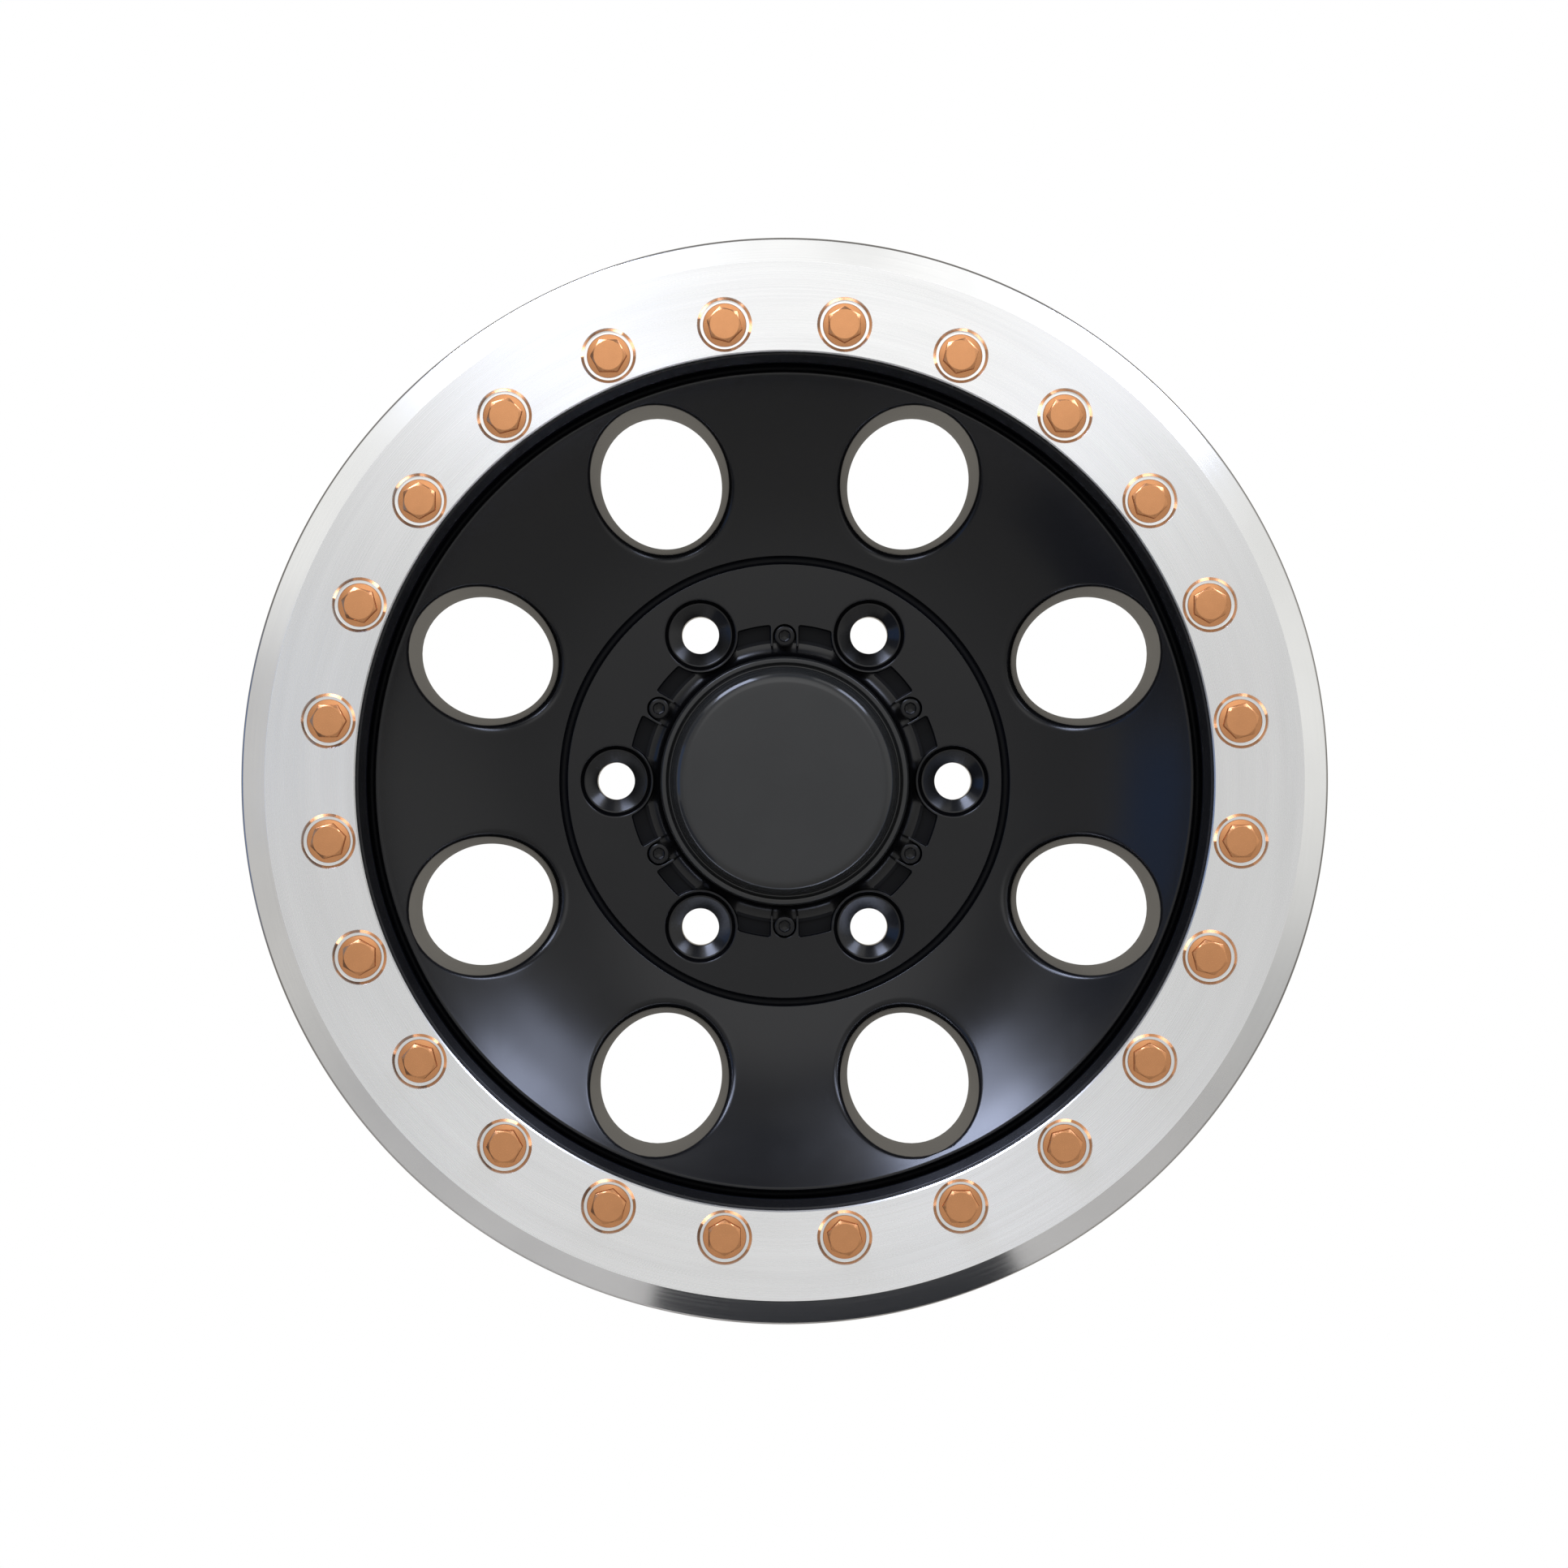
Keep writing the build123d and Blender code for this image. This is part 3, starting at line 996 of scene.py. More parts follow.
    def pocket_outline(self) -> np.ndarray:
        """Outline of the pocket round the cap, between lug bosses and notched screw pads.

        Returns:
            Anticlockwise points across the wheel.
        """
        half = pi / LUGS.count
        boss, meet, bearing, swing = boss_bite(self.lug_boss, self.pocket_radius, half)
        root = sqrt(self.pocket_radius ** 2 - self.pad_half_width ** 2)
        bend = np.arctan2(self.pad_half_width, root)
        path = plain(arc((SCREWS.radius, 0), self.notch, 0, pi / 2, 12))
        path.append((self.pad_tip, self.notch, self.pad_edge))
        path.append((self.pad_tip, self.pad_half_width, self.pad_edge))
        path.append((root, self.pad_half_width, self.pad_corner))
        path += plain(arc((0, 0), self.pocket_radius, bend + self.fillet_gap, bearing - self.fillet_gap, 8))
        path.append((*meet, self.pad_corner))
        path += plain(arc(boss, self.lug_boss, half + pi + swing - self.boss_gap, half + pi, 14))
        return round_outline(rounded(path, FILLET_STEP))

    def pocket_tool(self) -> Mesh:
        """Cutter for the pocket, with a soft front edge and a soft floor corner.

        Returns:
            A closed mesh.
        """
        outline, edge, corner = self.pocket_outline(), self.pocket_edge, self.pocket_corner
        levels = [(swollen(outline, edge * (1 - sin(a))), self.hub_y + edge * (1 - cos(a)))
                  for a in np.radians([14, 32, 50, 70, 90])]
        levels.insert(0, (levels[0][0], self.hub_y - self.tool_rise))
        levels += [(swollen(outline, -corner * (1 - cos(a))), self.pocket_y - corner * (1 - sin(a)))
                   for a in np.radians([0, 30, 60, 90])]
        skin = Skin()
        skin.plug(stacked(levels))
        return skin.mesh("pocket_tool")

    def hollow_tool(self) -> Mesh:
        """Cutter for the hollows in the back of the hub, between the lug holes.

        Returns:
            One mesh with all of them.
        """
        skin = Skin()
        middle, half = self.hollow_circle, self.hollow_half_width
        for angle in SCREWS.angles():
            start, end = angle - self.hollow_half_spread, angle + self.hollow_half_spread
            spots = arc((0, 0), middle + half, start, end, 12)
            tip = (middle * cos(end), middle * sin(end))
            spots += arc(tip, half, end, end + pi, 16)[1:-1]
            spots += arc((0, 0), middle - half, end, start, 12)
            tail = (middle * cos(start), middle * sin(start))
            spots += arc(tail, half, start + pi, start + 2 * pi, 16)[1:-1]
            outline = np.array(spots)
            skin.plug(stacked([(swollen(outline, grow), y) for grow, y in self.hollow_levels]))
        return skin.mesh("hollow_tool")

    def hub(self) -> Mesh:
        """The hub inside the groove, with its pocket, lug seats, screw holes and rear hollows.

        Returns:
            A closed mesh.
        """
        section = [
            (self.seam_radius, self.groove_floor_y, 0),
            (self.hub_face_radius, self.groove_floor_y, self.groove_corner),
            (self.hub_face_radius, self.hub_y, self.groove_lip),
            (self.bore_radius, self.hub_y, 0),
            (self.bore_radius, -self.bore_chamfer, 0),
            (self.bore_radius + self.bore_chamfer, 0, 0),
            (*self.flank_foot, 0),
            (self.seam_radius, self.seam_y(), 0),
        ]
        skin = Skin()
        loops = spun(rounded(section, FILLET_STEP), self.hub_steps)
        skin.band(np.concatenate([loops, loops[:1]]))
        block = skin.mesh("hub")
        mouth = [(radius, self.hub_y + y) for radius, y in self.lug_mouth]
        lugs = drills([*mouth, *self.lug_seat], LUGS, self.lug_steps)
        bore = [(self.screw_hole, self.pocket_y - self.hole_rise), (self.screw_hole, self.screw_hole_end)]
        holes = drills(bore, SCREWS, self.hole_steps)
        return carved(block, [self.hollow_tool(), lugs, holes, self.pocket_tool()])

    def in_painted_shade(self, radius: np.ndarray, station: np.ndarray, bearing: np.ndarray) -> np.ndarray:
        """Tells which faces lie in the groove, the moat or the pocket round the cap, which get painted shade:
        a darker, duller paint.

        Args:
            radius: Distances of the faces from the axle.
            station: Their stations.
            bearing: Their bearings, which make no difference here.

        Returns:
            One truth for each face.
        """
        groove = np.abs(radius - self.seam_radius) < self.groove_reach
        groove &= (station > self.hub_y + self.groove_edge) & (station < self.groove_end_y)
        inward, outward = self.moat_reach
        moat = (radius > self.disc_radius - inward) & (radius < self.moat_radius + outward)
        moat &= station < self.moat_end_y
        aside, along = self.floor_reach
        pocket = (radius < self.pocket_radius + aside) & (np.abs(station - self.pocket_y) < along)
        return groove | moat | pocket

    def in_seat(self, radius: np.ndarray, station: np.ndarray, bearing: np.ndarray) -> np.ndarray:
        """Tells which faces lie in a lug seat.

        Args:
            radius: Distances of the faces from the axle.
            station: Their stations.
            bearing: Their bearings.

        Returns:
            One truth for each face.
        """
        turn = 2 * pi / LUGS.count
        aside = bearing - np.round(bearing / turn) * turn
        away = np.hypot(radius * np.cos(aside) - LUGS.radius, radius * np.sin(aside))
        within = (station > self.hub_y + self.seat_edge) & (station < self.seat_end_y)
        return within & (away < self.seat_reach)

    def build(self, finishes: Sequence[Finish]) -> Thing:
        """Builds and dresses the cast wheel.

        Args:
            finishes: Materials of the casting, of its recesses, which carry painted shade, and of its lug
                seats.

        Returns:
            The piece.
        """
        mesh = merged([self.casting(), self.hub()], "cast_wheel")
        numbered(mesh, [0] * len(mesh.polygons))
        # painted shade: the groove, moat and pocket floor get a darker, bluer, duller paint than the rest of
        # the casting
        marked(mesh, 1, self.in_painted_shade)
        marked(mesh, 2, self.in_seat)
        return dressed("cast_wheel", mesh, "wheel_body", finishes, 32)


@dataclass
class ClampRing:
    """The bolted ring: a brushed flat face, a polished bevel and a chamfered pocket for each bolt."""

    steps: int = 720
    side_steps: int = 14
    inner: float = 174.3
    inner_chamfer: float = 0.6
    face_y: float = -80.0
    face_radius: float = 211.0
    face_edge: float = 0.12
    outer: float = 221.0
    bevel_y: float = -73.0
    lip_y: float = -63.0
    clamp_y: float = -66.0
    register: float = 203.1
    edge: float = 2.2
    pocket: float = 10.0
    pocket_chamfer: float = 1.2
    pocket_chamfer_depth: float = 0.65
    pocket_floor_y: float = -75.5
    bolt_hole: float = 4.25
    patch: float = 200.0
    face_rows: int = 7
    back_rows: int = 5
    face_fillet: float = 0.1
    register_fillet: float = 0.3

    def build(self, finishes: Sequence[Finish]) -> Thing:
        """Builds and dresses the ring.

        Args:
            finishes: Materials of the flat faces, and of the bevel, the pockets and the rim.

        Returns:
            The piece.
        """
        skin = Skin()
        arc_steps = self.steps // BOLTS.count
        mouth = self.inner + self.inner_chamfer
        front = Sector(mouth, self.patch, BOLTS, arc_steps, self.side_steps)
        back = Sector(self.inner, self.patch, BOLTS, arc_steps, self.side_steps)
        wide = (self.pocket + self.pocket_chamfer, self.face_y)
        narrow = (self.pocket, self.face_y + self.pocket_chamfer_depth)
        well = [narrow, (self.pocket, self.pocket_floor_y), (self.bolt_hole, self.pocket_floor_y),
                (self.bolt_hole, self.clamp_y)]
        front.repeated(skin, front.drilled([wide], self.face_rows), 0)
        front.repeated(skin, front.wall([wide, narrow]), 1)
        front.repeated(skin, front.wall(well), 1)
        behind = back.drilled([(self.bolt_hole, self.clamp_y)], self.back_rows)
        behind[-1] = (front.rim()[0], *behind[-1][1:])
        back.repeated(skin, behind, 0)
        flat_end = self.face_radius - self.face_edge
        rim = [
            (flat_end, self.face_y, 0),
            (self.face_radius, self.face_y, self.face_fillet),
            (self.outer, self.bevel_y, self.edge),
            (self.outer, self.lip_y, self.edge),
            (self.register, self.lip_y, self.register_fillet),
            (self.register, self.clamp_y, 0),
            (self.patch, self.clamp_y, 0),
        ]
        bore = [(self.inner, self.clamp_y), (self.inner, self.face_y + self.inner_chamfer)]
        bore.append((mouth, self.face_y))
        skin.band(spun([(self.patch, self.face_y), (flat_end, self.face_y)], self.steps), 0)
        skin.band(spun(rounded(rim), self.steps), 1)
        skin.band(spun(bore, self.steps), 0)
        mesh = skin.mesh("clamp_ring")
        return dressed("clamp_ring", mesh, "beadlock_ring", finishes, 20)


def hexagon(across: float, corner: float, angles: np.ndarray) -> np.ndarray:
    """Radii of a hexagon with rounded corners.

    Args:
        across: Size across the flats.
        corner: Radius of the corners.
        angles: Angles to measure at; a corner points at 0.

    Returns:
        Radii.
    """
    off = (angles + pi / 6) % (pi / 3) - pi / 6
    flat = across / 2 / np.cos(pi / 6 - np.abs(off))
    middle = (across / 2 - corner) / cos(pi / 6)
    within = corner ** 2 - (middle * np.sin(off)) ** 2
    bend = middle * np.cos(off) + np.sqrt(np.maximum(within, 0))
    limit = np.arctan2(corner * sin(pi / 6), middle + corner * cos(pi / 6))
    return np.where(np.abs(off) < limit, bend, flat)


@dataclass
class RoundPattern:
    """Identical fasteners on a circle, set out by one tree of Geometry Nodes."""

    circle: Circle
    station: float

    def tree(self) -> bpy.types.GeometryNodeTree:
        """Builds the tree that sets a part out on a circle across the axle.

        Returns:
            The node tree, with inputs Part, Count, Radius, Start, Station and Finish.
        """
        group = bpy.data.node_groups.new("round_pattern", "GeometryNodeTree")
        inputs = {"Part": "Geometry", "Count": "Int", "Radius": "Float", "Start": "Float", "Station": "Float",
                  "Finish": "Material"}
        for name, kind in inputs.items():
            group.interface.new_socket(name, in_out="INPUT", socket_type="NodeSocket" + kind)
        group.interface.new_socket("Set", in_out="OUTPUT", socket_type="NodeSocketGeometry")
        tree = Tree(group)
        given = tree.nodes.new("NodeGroupInput").outputs
        circle = tree.add("GeometryNodeMeshCircle", {"Vertices": given["Count"], "Radius": given["Radius"]})
        turn = tree.add("ShaderNodeCombineXYZ", {"Z": given["Start"]})
        turned = tree.add("GeometryNodeTransform", {"Geometry": circle, "Rotation": turn})
        place = tree.add("GeometryNodeInputPosition")
        aim = tree.add("FunctionNodeAlignRotationToVector", {"Vector": place}, axis="X", pivot_axis="Z")
        spread = {"Points": turned, "Instance": given["Part"], "Rotation": aim}
        placed = tree.add("GeometryNodeInstanceOnPoints", spread)
        shift = tree.add("ShaderNodeCombineXYZ", {"Y": given["Station"]})
        stand = {"Geometry": placed, "Translation": shift, "Rotation": (pi / 2, 0, 0)}
        real = tree.add("GeometryNodeRealizeInstances", {0: tree.add("GeometryNodeTransform", stand)})
        coat = tree.add("GeometryNodeSetMaterial", {"Geometry": real, "Material": given["Finish"]})
        tree.put(tree.nodes.new("NodeGroupOutput").inputs["Set"], coat)
        return group

    def set_out(self, part: Mesh, finish: Finish) -> Mesh:
        """Repeats a part round the circle.

        Args:
            part: Mesh of one fastener, standing on its seat along Z.
            finish: Its material.

        Returns:
            One plain mesh of the whole set.
        """
        thing = shown("pattern", part)
        step = thing.modifiers.new("set_out", "NODES")
        step.node_group = self.tree()
        names = {item.name: item.identifier for item in step.node_group.interface.items_tree}
        step[names["Count"]] = self.circle.count
        step[names["Radius"]] = self.circle.radius * MM
        step[names["Start"]] = self.circle.start
        step[names["Station"]] = self.station * MM
        step[names["Finish"]] = finish
        mesh = settled(thing)
        mesh.materials.clear()
        bpy.data.objects.remove(thing)
        return mesh


@dataclass
class Fastener:
    """Identical fasteners on a circle, each standing on its seat along Z."""

    pattern: RoundPattern
    steps: int = 96

    def levels(self, angles: np.ndarray) -> list[Level]:
        """Radius and height of one fastener's loops in mm, for points at some angles round it."""
        raise NotImplementedError

    def set_of(self, name: str, finish: Finish) -> Mesh:
        """All the fasteners.

        Args:
            name: Name of one fastener's mesh.
            finish: Their material.

        Returns:
            One mesh.
        """
        angles = np.linspace(0, 2 * pi, self.steps, endpoint=False)
        skin = Skin()
        skin.band(upright(self.levels(angles), self.steps))
        return self.pattern.set_out(skin.mesh(name), finish)


@dataclass
class RingBolts(Fastener):
    """Hexagon flange bolts that hold the clamp ring."""

    across: float = 12.8
    corner: float = 0.25
    turn: float = radians(7.5)
    height: float = 8.1
    crown: float = 5.95
    crown_angle: float = radians(30)
    flange: float = 8.85
    flange_edge: float = 1.5
    flange_rise: float = 0.25
    shank: float = 4.0
    length: float = 30.0
    tip: float = 0.8

    def levels(self, angles: np.ndarray) -> list[Level]:
        """Loops of one bolt, with soft edges.

        Args:
            angles: Angles of the points round it.

        Returns:
            Radius and height of each loop.
        """
        side = hexagon(self.across, self.corner, angles - self.turn)
        shoulder = self.height - (side - self.crown) * tan(self.crown_angle)
        slope = self.flange_rise / (self.flange - self.across / 2)
        foot = self.flange_edge + (self.flange - side) * slope
        return [
            (0.0, self.height),
            (self.crown - 0.1, self.height),
            (self.crown + 0.06, self.height - 0.03),
            (side - 0.08, shoulder + 0.05),
            (side, shoulder - 0.06),
            (side, foot + 0.2),
            (side + 0.15, foot),
            (self.flange - 0.3, self.flange_edge + 0.3 * slope),
            (self.flange - 0.08, self.flange_edge - 0.05),
            (self.flange, self.flange_edge - 0.25),
            (self.flange, 0.2),
            (self.flange - 0.2, 0.0),
            (self.shank, 0.0),
            (self.shank, -self.length + self.tip),
            (self.shank - self.tip, -self.length),
            (0.0, -self.length),
        ]

    def build(self, finish: Finish) -> Thing:
        """Builds and dresses the set of bolts in a finish."""
        mesh = self.set_of("ring_bolt", finish)
        return dressed("flange_bolts", mesh, "ring_bolts", [finish], 24)


@dataclass
class CapScrews(Fastener):
    """Socket-head screws that hold the cap."""

    head: float = 4.25
    height: float = 3.5
    socket: float = 4.0
    socket_corner: float = 0.1
    socket_depth: float = 2.0
    socket_cone: float = 1.0
    shank: float = 2.5
    length: float = 12.0
    tip: float = 0.5

    def levels(self, angles: np.ndarray) -> list[Level]:
        """Loops of one screw, with soft edges.

        Args:
            angles: Angles of the points round it.

        Returns:
            Radius and height of each loop.
        """
        bore = hexagon(self.socket, self.socket_corner, angles)
        floor = self.height - self.socket_depth
        return [
            (0.0, floor - self.socket_cone),
            (bore, floor),
            (bore, self.height - 0.45),
            (np.maximum(bore + 0.1, self.socket / 2 + 0.55), self.height),
            (self.head - 0.75, self.height),
            (self.head - 0.4, self.height - 0.1),
            (self.head - 0.12, self.height - 0.36),
            (self.head, self.height - 0.75),
            (self.head, 0.0),
            (self.shank, 0.0),
            (self.shank, -self.length + self.tip),
            (self.shank - self.tip, -self.length),
            (0.0, -self.length),
        ]

    def build(self, finish: Finish) -> Thing:
        """Builds and dresses the set of screws in a finish."""
        mesh = self.set_of("cap_screw", finish)
        return dressed("socket_screws", mesh, "cap_screws", [finish], 30)


@dataclass
class CenterCap:
    """The cap over the axle's end, with a rolled edge, a bead and a thin base with ears."""

    steps: int = 240
    top_y: float = -33.0
    top_radius: float = 40.6
    roll: float = 6.6
    valley_y: float = -24.2
    valley_width: float = 0.8
    bead: Spot = (49.9, -25.6)
    bead_width: float = 1.7
    bead_drop: float = 1.2
    side: float = 51.5
    foot_y: float = -16.8
    wall: float = 2.4
    base_thickness: float = 1.6
    base_radius: float = 58.6
    base_rim: float = 1.3
    skirt_rise: float = 4.8
    skirt_rows: int = 16
    ear: float = 4.25
    screw_hole: float = 2.75
    hole_steps: int = 24
    boss_room: float = 15.85
    overlap: float = 1.0
    bunching: float = 1.4
    drill_ends: Spot = (8.0, 1.0)
    top_loops: Spot = (8.0, 3.0)

    def shell(self) -> Mesh:
        """The turned shell.

        Returns:
            A closed mesh.
        """
        rim, shoulder = self.top_radius + self.roll, self.top_y + self.roll
        bead, crest = self.bead
        edge = [
            (rim, shoulder, 0),
            (rim, self.valley_y, 0.5),
            (rim + self.valley_width, self.valley_y, 0.6),
            (bead - self.bead_width / 2, crest, 0.7),
            (bead + self.bead_width / 2, crest, 0.7),
            (self.side, crest + self.bead_drop, 0.6),
            (self.side, self.foot_y, 0),
        ]
        path = [(0.0, self.top_y)]
        path += [(self.top_radius - inset, self.top_y) for inset in self.top_loops]
        path += arc((self.top_radius, shoulder), self.roll, -pi / 2, 0, 14)
        path += rounded(edge)[1:]
        path += [
            (self.side - self.wall, self.foot_y),
            (rim - self.wall, self.foot_y),
            (rim - self.wall, shoulder),
            (self.top_radius, self.top_y + self.wall),
            (0.0, self.top_y + self.wall),
        ]
        skin = Skin()
        skin.band(spun(path, self.steps))
        return skin.mesh("cap_shell")

    def base(self) -> Mesh:
        """The thin base under the shell, with a hollow skirt and an ear under each screw.

        Returns:
            A closed mesh.
        """
        half = pi / LUGS.count
        boss, _, bearing, swing = boss_bite(self.boss_room, self.base_radius, half)
        bend = np.arctan2(self.ear, sqrt(self.base_radius ** 2 - self.ear ** 2))
        upper = arc((SCREWS.radius, 0), self.ear, 0, pi / 2, 12)
        upper += arc((0, 0), self.base_radius, bend, bearing, 8)
        upper += arc(boss, self.boss_room, half + pi + swing, half + pi, 8)[1:]
        outline = round_outline(upper)
        reach = np.linalg.norm(outline, axis=1)
        way = outline / reach[:, None]
        top = self.foot_y - self.base_thickness
        inner = way * (self.side - self.overlap)
        levels = [(inner, self.foot_y), (inner, top - self.skirt_rise)]
        for share in np.linspace(0, 1, self.skirt_rows) ** self.bunching:
            radius = self.side + (reach - self.side) * share
            off = np.clip((self.base_radius - radius) / (self.base_radius - self.side), 0, 1)
            rise = top - self.skirt_rise * (1 - np.sqrt(1 - off ** 2))
            levels.append((way * radius[:, None], rise))
        levels += [(outline, self.foot_y), levels[0]]
        skin = Skin()
        skin.band(stacked(levels))
        above, below = self.drill_ends
        bore = [(self.screw_hole, top - above), (self.screw_hole, self.foot_y + below)]
        return carved(skin.mesh("cap_base"), [drills(bore, SCREWS, self.hole_steps)])

    def build(self, finishes: Sequence[Finish]) -> Thing:
        """Builds and dresses the cap.

        Args:
            finishes: Materials of the shell, of its skirt, and of the ears and base rim, which carry painted
                shade.

        Returns:
            The piece.
        """
        shell, base = self.shell(), self.base()
        numbered(base, [1] * len(base.polygons))
        # painted shade: the base's outer rim and the ears round the screws get the darker, duller paint
        marked(base, 2, lambda radius, *_: radius > self.base_radius - self.base_rim)
        mesh = merged([shell, base], "hub_cap")
        return dressed("hub_cap", mesh, "center_cap", finishes, 32)


def staged(
    name: str, mesh: Mesh, material: Finish, place: Corner = (0, 0, 0), unseen: Sequence[str] = ()
) -> Thing:
    """Sets up a thing of the studio.

    Args:
        name: Name of the thing.
        mesh: Its mesh.
        material: Its material.
        place: Where it stands, in metres.
        unseen: Kinds of rays that don't meet it.

    Returns:
        The thing.
    """
    mesh.materials.append(material)
    thing = shown(name, mesh)
    thing.location = place
    for ray in unseen:
        setattr(thing, f"visible_{ray}", False)
    return thing


@dataclass
class Softbox:
    """A strip light that faces the wheel, placed by its bearing and its tilt from the axle, in degrees."""

    name: str
    bearing: float
    tilt: float
    size: Spot
    strength: float
    distance: float = 1.25
    color: Color = (0.66, 0.74, 1.0)

    def build(self) -> Thing:
        """Sets the strip up with its length in the plane through the axle.

        Returns:
            The light.
        """
        bearing, tilt = radians(self.bearing), radians(self.tilt)
        away = Vector((sin(tilt) * cos(bearing), -cos(tilt), sin(tilt) * sin(bearing)))
        along = Vector((cos(tilt) * cos(bearing), sin(tilt), cos(tilt) * sin(bearing)))
        lamp = bpy.data.lights.new(self.name, "AREA")
        lamp.shape = "RECTANGLE"
        lamp.size, lamp.size_y = self.size
        lamp.color = self.color
        lamp.energy = self.strength * pi * self.size[0] * self.size[1]
        light = shown(self.name, lamp)
        turn = Matrix((along.cross(away), along, away)).transposed().to_4x4()
        light.matrix_world = Matrix.Translation(away * self.distance) @ turn
        light.visible_camera = False
        return light


@dataclass
class Card:
    """A flat card beside the wheel, which shows in its reflections and nowhere else."""

    name: str
    corners: tuple[Corner, ...]
    color: Color = (0.0, 0.0, 0.0)
    glow: Color = (0.0, 0.0, 0.0)

    def build(self) -> Thing:
        """Sets the card up.

        Returns:
            The card, which only glossy rays meet.
        """
        mesh = bpy.data.meshes.new(self.name)
        mesh.from_pydata(self.corners, [], [(0, 1, 2, 3)])
        coat = Coat(
            self.name,
            Base_Color=(*self.color, 1.0),
            Specular_IOR_Level=0.0,
            Emission_Color=(*self.glow, 1.0),
            Emission_Strength=1.0,
        )
        return staged(self.name, mesh, coat.material, unseen=("camera", "diffuse", "shadow"))


@dataclass
class Panel:
    """A glowing card, placed where the dished disc reflects it and the ring's bevel doesn't."""

    name: str
    bearing: float
    width: float
    glow: Color
    radius: float = 0.4
    near_y: float = -0.155
    far_y: float = -0.36

    def build(self) -> Thing:
        """Sets the panel up.

        Returns:
            The card.
        """
        turn = radians(self.bearing)
        out = Vector((cos(turn), 0, sin(turn))) * self.radius
        aside = Vector((-sin(turn), 0, cos(turn))) * self.width / 2
        near, far = Vector((0, self.near_y, 0)), Vector((0, self.far_y, 0))
        corners = (out - aside + near, out - aside + far, out + aside + far, out + aside + near)
        return Card(self.name, tuple(tuple(corner) for corner in corners), glow=self.glow).build()


@dataclass(frozen=True)
class Glow:
    """A round patch of the light tent, between two angles in degrees, that differs from the rest."""

    toward: Corner
    inner: float
    outer: float
    color: Color


@dataclass
class Tent:
    """A light tent round the wheel, which the camera looks through."""

    radius: float = 2.2
    center_y: float = -0.05
    color: Color = (0.55, 0.55, 0.55)
    glows: tuple[Glow, ...] = (
        Glow((0.0, -0.99, -0.12), 12, 40, (0.15, 0.15, 0.15)),
        Glow((0.0, -0.91, 0.41), 7, 25, (0.88, 0.88, 0.88)),
        Glow((0.32, -0.36, 0.88), 9, 16, (0.66, 0.66, 0.66)),
        Glow((-0.08, -0.36, 0.93), 9, 16, (0.66, 0.66, 0.66)),
        Glow((-0.75, -0.36, 0.55), 10, 26, (0.46, 0.46, 0.45)),
        Glow((-0.93, -0.36, -0.1), 12, 30, (0.10, 0.09, 0.08)),
        Glow((0.85, -0.36, 0.35), 18, 46, (0.36, 0.36, 0.35)),
        Glow((-0.98, 0.2, 0.0), 8, 20, (-0.06, 0.02, 0.2)),
        Glow((0.0, 1.0, 0.0), 97, 105, (-0.36, -0.37, -0.38)),
        Glow((0.0, 1.0, 0.0), 20, 42, (0.44, 0.41, 0.35)),
    )

    def material(self) -> Finish:
        """Cloth that glows as its patches say.

        Returns:
            The material.
        """
        coat = Coat("tent_cloth")
        way = coat.vector("NORMALIZE", coat.place)
        total = self.color
        for glow in self.glows:
            near = coat.vector("DOT_PRODUCT", way, Vector(glow.toward).normalized(), out="Value")
            share = coat.fade(near, cos(radians(glow.outer)), cos(radians(glow.inner)))
            total = coat.vector("MULTIPLY_ADD", glow.color, share, total)
        return coat.end(coat.add("ShaderNodeEmission", {"Color": total}))

    def build(self) -> Thing:
        """Sets the tent up round the wheel.

        Returns:
            The tent, which doesn't show to the camera.
        """
        shape = bmesh.new()
        bmesh.ops.create_uvsphere(shape, u_segments=64, v_segments=32, radius=self.radius)
        mesh = poured(shape, "tent")
        return staged("tent", mesh, self.material(), (0, self.center_y, 0), ("camera", "shadow"))


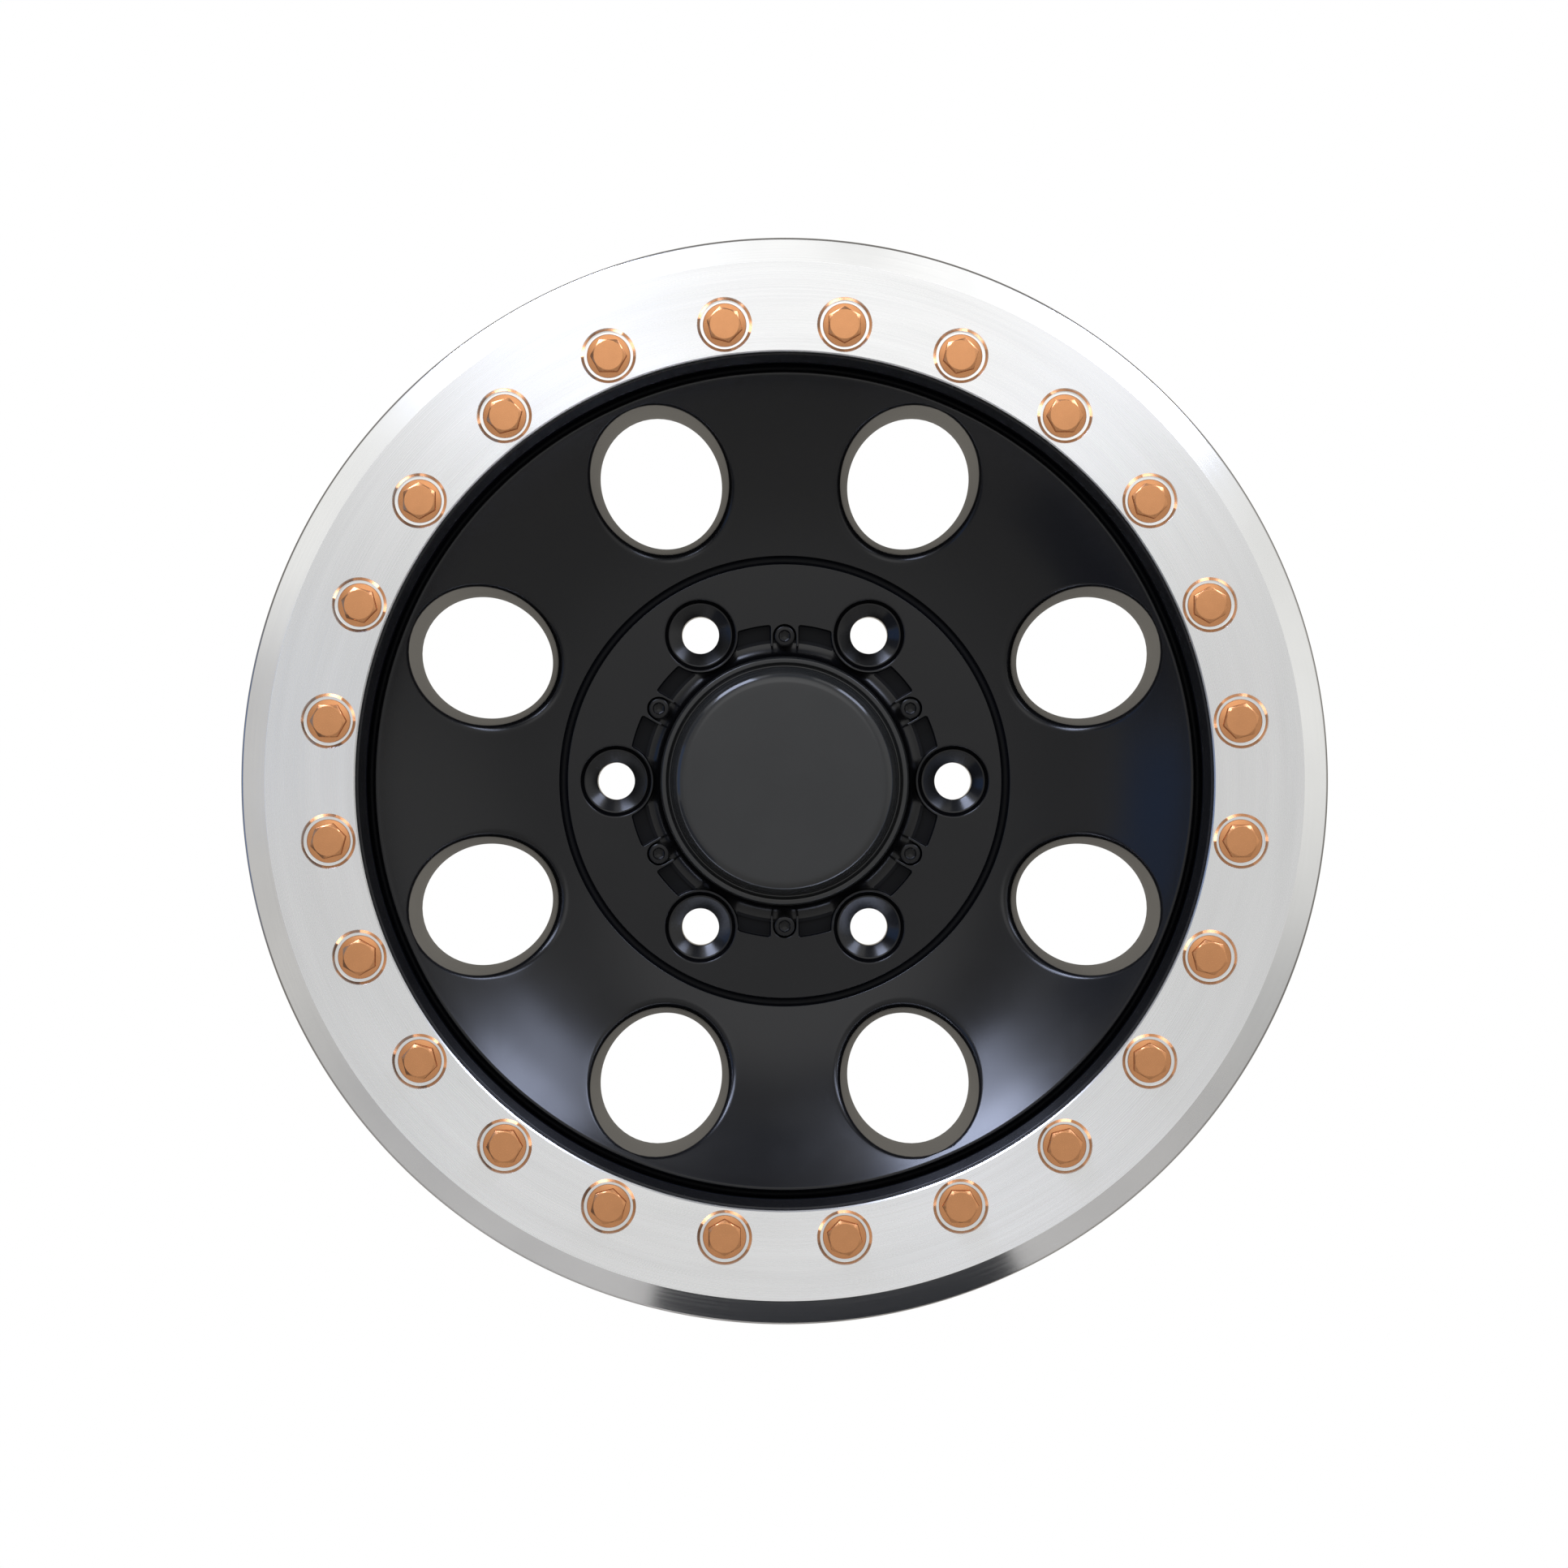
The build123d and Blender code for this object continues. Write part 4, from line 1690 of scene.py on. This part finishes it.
@dataclass
class Studio:
    """Floor, background, lights and camera."""

    floor_z: float = -0.5
    floor_reach: float = 1.35
    floor_fade: Spot = (0.1, 0.95)
    floor_clear: float = 0.25
    floor_light: Color = (0.49, 0.455, 0.385)
    floor_dark: Color = (0.47, 0.435, 0.37)
    camera_y: float = -2.88
    camera_shift: Spot = (-0.00025, -0.0012)
    sensor: float = 36.0
    view_width: float = 0.636
    view_y: float = -0.08
    lights: tuple[Softbox | Card | Panel, ...] = (
        Card(
            "black_card",
            ((0.225, -0.36, -0.47), (0.225, 0.02, -0.47), (-0.12, -0.13, -0.47), (-0.12, -0.17, -0.47)),
            (0.02, 0.02, 0.02),
        ),
        Panel("panel_blue", 173, 0.20, (0.3, 0.5, 1.0)),
        Panel("panel_top", 86, 0.17, (0.33, 0.35, 0.40)),
        Panel("panel_high", 150, 0.15, (0.20, 0.22, 0.28)),
        Panel("panel_low", 278, 0.34, (0.5, 0.5, 0.5)),
        Panel("panel_dark", 210, 0.28, (0.15, 0.17, 0.23)),
        Softbox("key_left_rim", 118, 78, (0.43, 0.42), 24.0),
        Softbox("key_left_front", 118, 59, (0.43, 0.42), 11.0),
        Softbox("key_right_rim", 50, 77, (0.36, 0.36), 13.5),
        Softbox("key_right_front", 50, 60, (0.36, 0.36), 6.5),
    )

    def floor(self) -> Thing:
        """A pale floor below the wheel, which keeps its shadow and fades into the white round it.

        Returns:
            The floor.
        """
        shape = bmesh.new()
        bmesh.ops.create_circle(shape, cap_ends=True, segments=96, radius=self.floor_reach)
        coat = Coat("pale_floor")
        cloud = coat.add("ShaderNodeTexNoise", {"Vector": coat.place, "Scale": 4.0})
        tone = coat.mix(cloud, self.floor_light, self.floor_dark)
        cloth = coat.add("ShaderNodeBsdfDiffuse", {"Color": tone})
        clear = coat.add("ShaderNodeBsdfTransparent")
        away = coat.vector("LENGTH", coat.place, out="Value")
        start, end = self.floor_fade
        share = coat.fade(away, start, self.floor_reach * end, self.floor_clear)
        material = coat.end(coat.add("ShaderNodeMixShader", {0: share, 1: cloth, 2: clear}))
        return staged("floor", poured(shape, "floor"), material, (0, 0, self.floor_z))

    def world(self) -> None:
        """A white background."""
        world = bpy.data.worlds.new("white")
        bpy.context.scene.world = world
        world.use_nodes = True
        cloth = world.node_tree.nodes["Background"]
        cloth.inputs["Color"].default_value = (1, 1, 1, 1)
        cloth.inputs["Strength"].default_value = 1.0

    def camera(self) -> None:
        """A long lens on the axle, as in the photograph."""
        data = bpy.data.cameras.new("camera")
        data.sensor_fit = "HORIZONTAL"
        data.sensor_width = self.sensor
        data.lens = self.sensor * (self.view_y - self.camera_y) / self.view_width
        camera = shown("camera", data)
        x, z = self.camera_shift
        camera.location = (x, self.camera_y, z)
        camera.rotation_euler = (pi / 2, 0, 0)
        bpy.context.scene.camera = camera

    def build(self) -> None:
        """Sets the whole studio up."""
        self.floor()
        self.world()
        Tent().build()
        for light in self.lights:
            light.build()
        self.camera()


def main() -> None:
    """Builds every piece of the wheel and the studio."""
    logging.basicConfig(level=logging.INFO, format="%(name)s: %(message)s")
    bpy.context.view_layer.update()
    bpy.context.scene.view_settings.view_transform = "Standard"
    black = Paint("satin_black_paint", (0.0035, 0.0035, 0.004), 0.22, 0.34).material()
    # painted shade: a darker, bluer, duller copy of the black paint, for the wheel's groove, moat and pocket
    # floor and the cap's ears
    painted_shade = Paint("painted_shade_paint", (0.0030, 0.0034, 0.0050), 0.45, 0.12).material()
    seat = Paint("seat_paint", (0.002, 0.002, 0.0024), 0.2, 0.4, 0.01).material()
    brushed = Metal("brushed_aluminium", (0.83, 0.83, 0.825), 0.28, Marks.BRUSHED, 0.8).material()
    polished = Metal("polished_aluminium", (0.86, 0.86, 0.85), 0.15, Marks.POLISHED).material()
    copper = Metal("copper_plating", (0.645, 0.300, 0.134), 0.25, Marks.PLATED).material()
    graphite = Paint("satin_graphite", (0.017, 0.0175, 0.0175), 0.12, 0.5).material()
    oxide = Paint("black_oxide", (0.003, 0.003, 0.0035), 0.25, 0.28).material()
    WheelBody().build([black, painted_shade, seat])
    ring = ClampRing()
    ring.build([brushed, polished])
    RingBolts(RoundPattern(BOLTS, ring.pocket_floor_y)).build(copper)
    cap = CenterCap()
    cap.build([graphite, seat, painted_shade])
    CapScrews(RoundPattern(SCREWS, cap.foot_y - cap.base_thickness)).build(oxide)
    Studio().build()


if __name__ == "__main__":
    main()
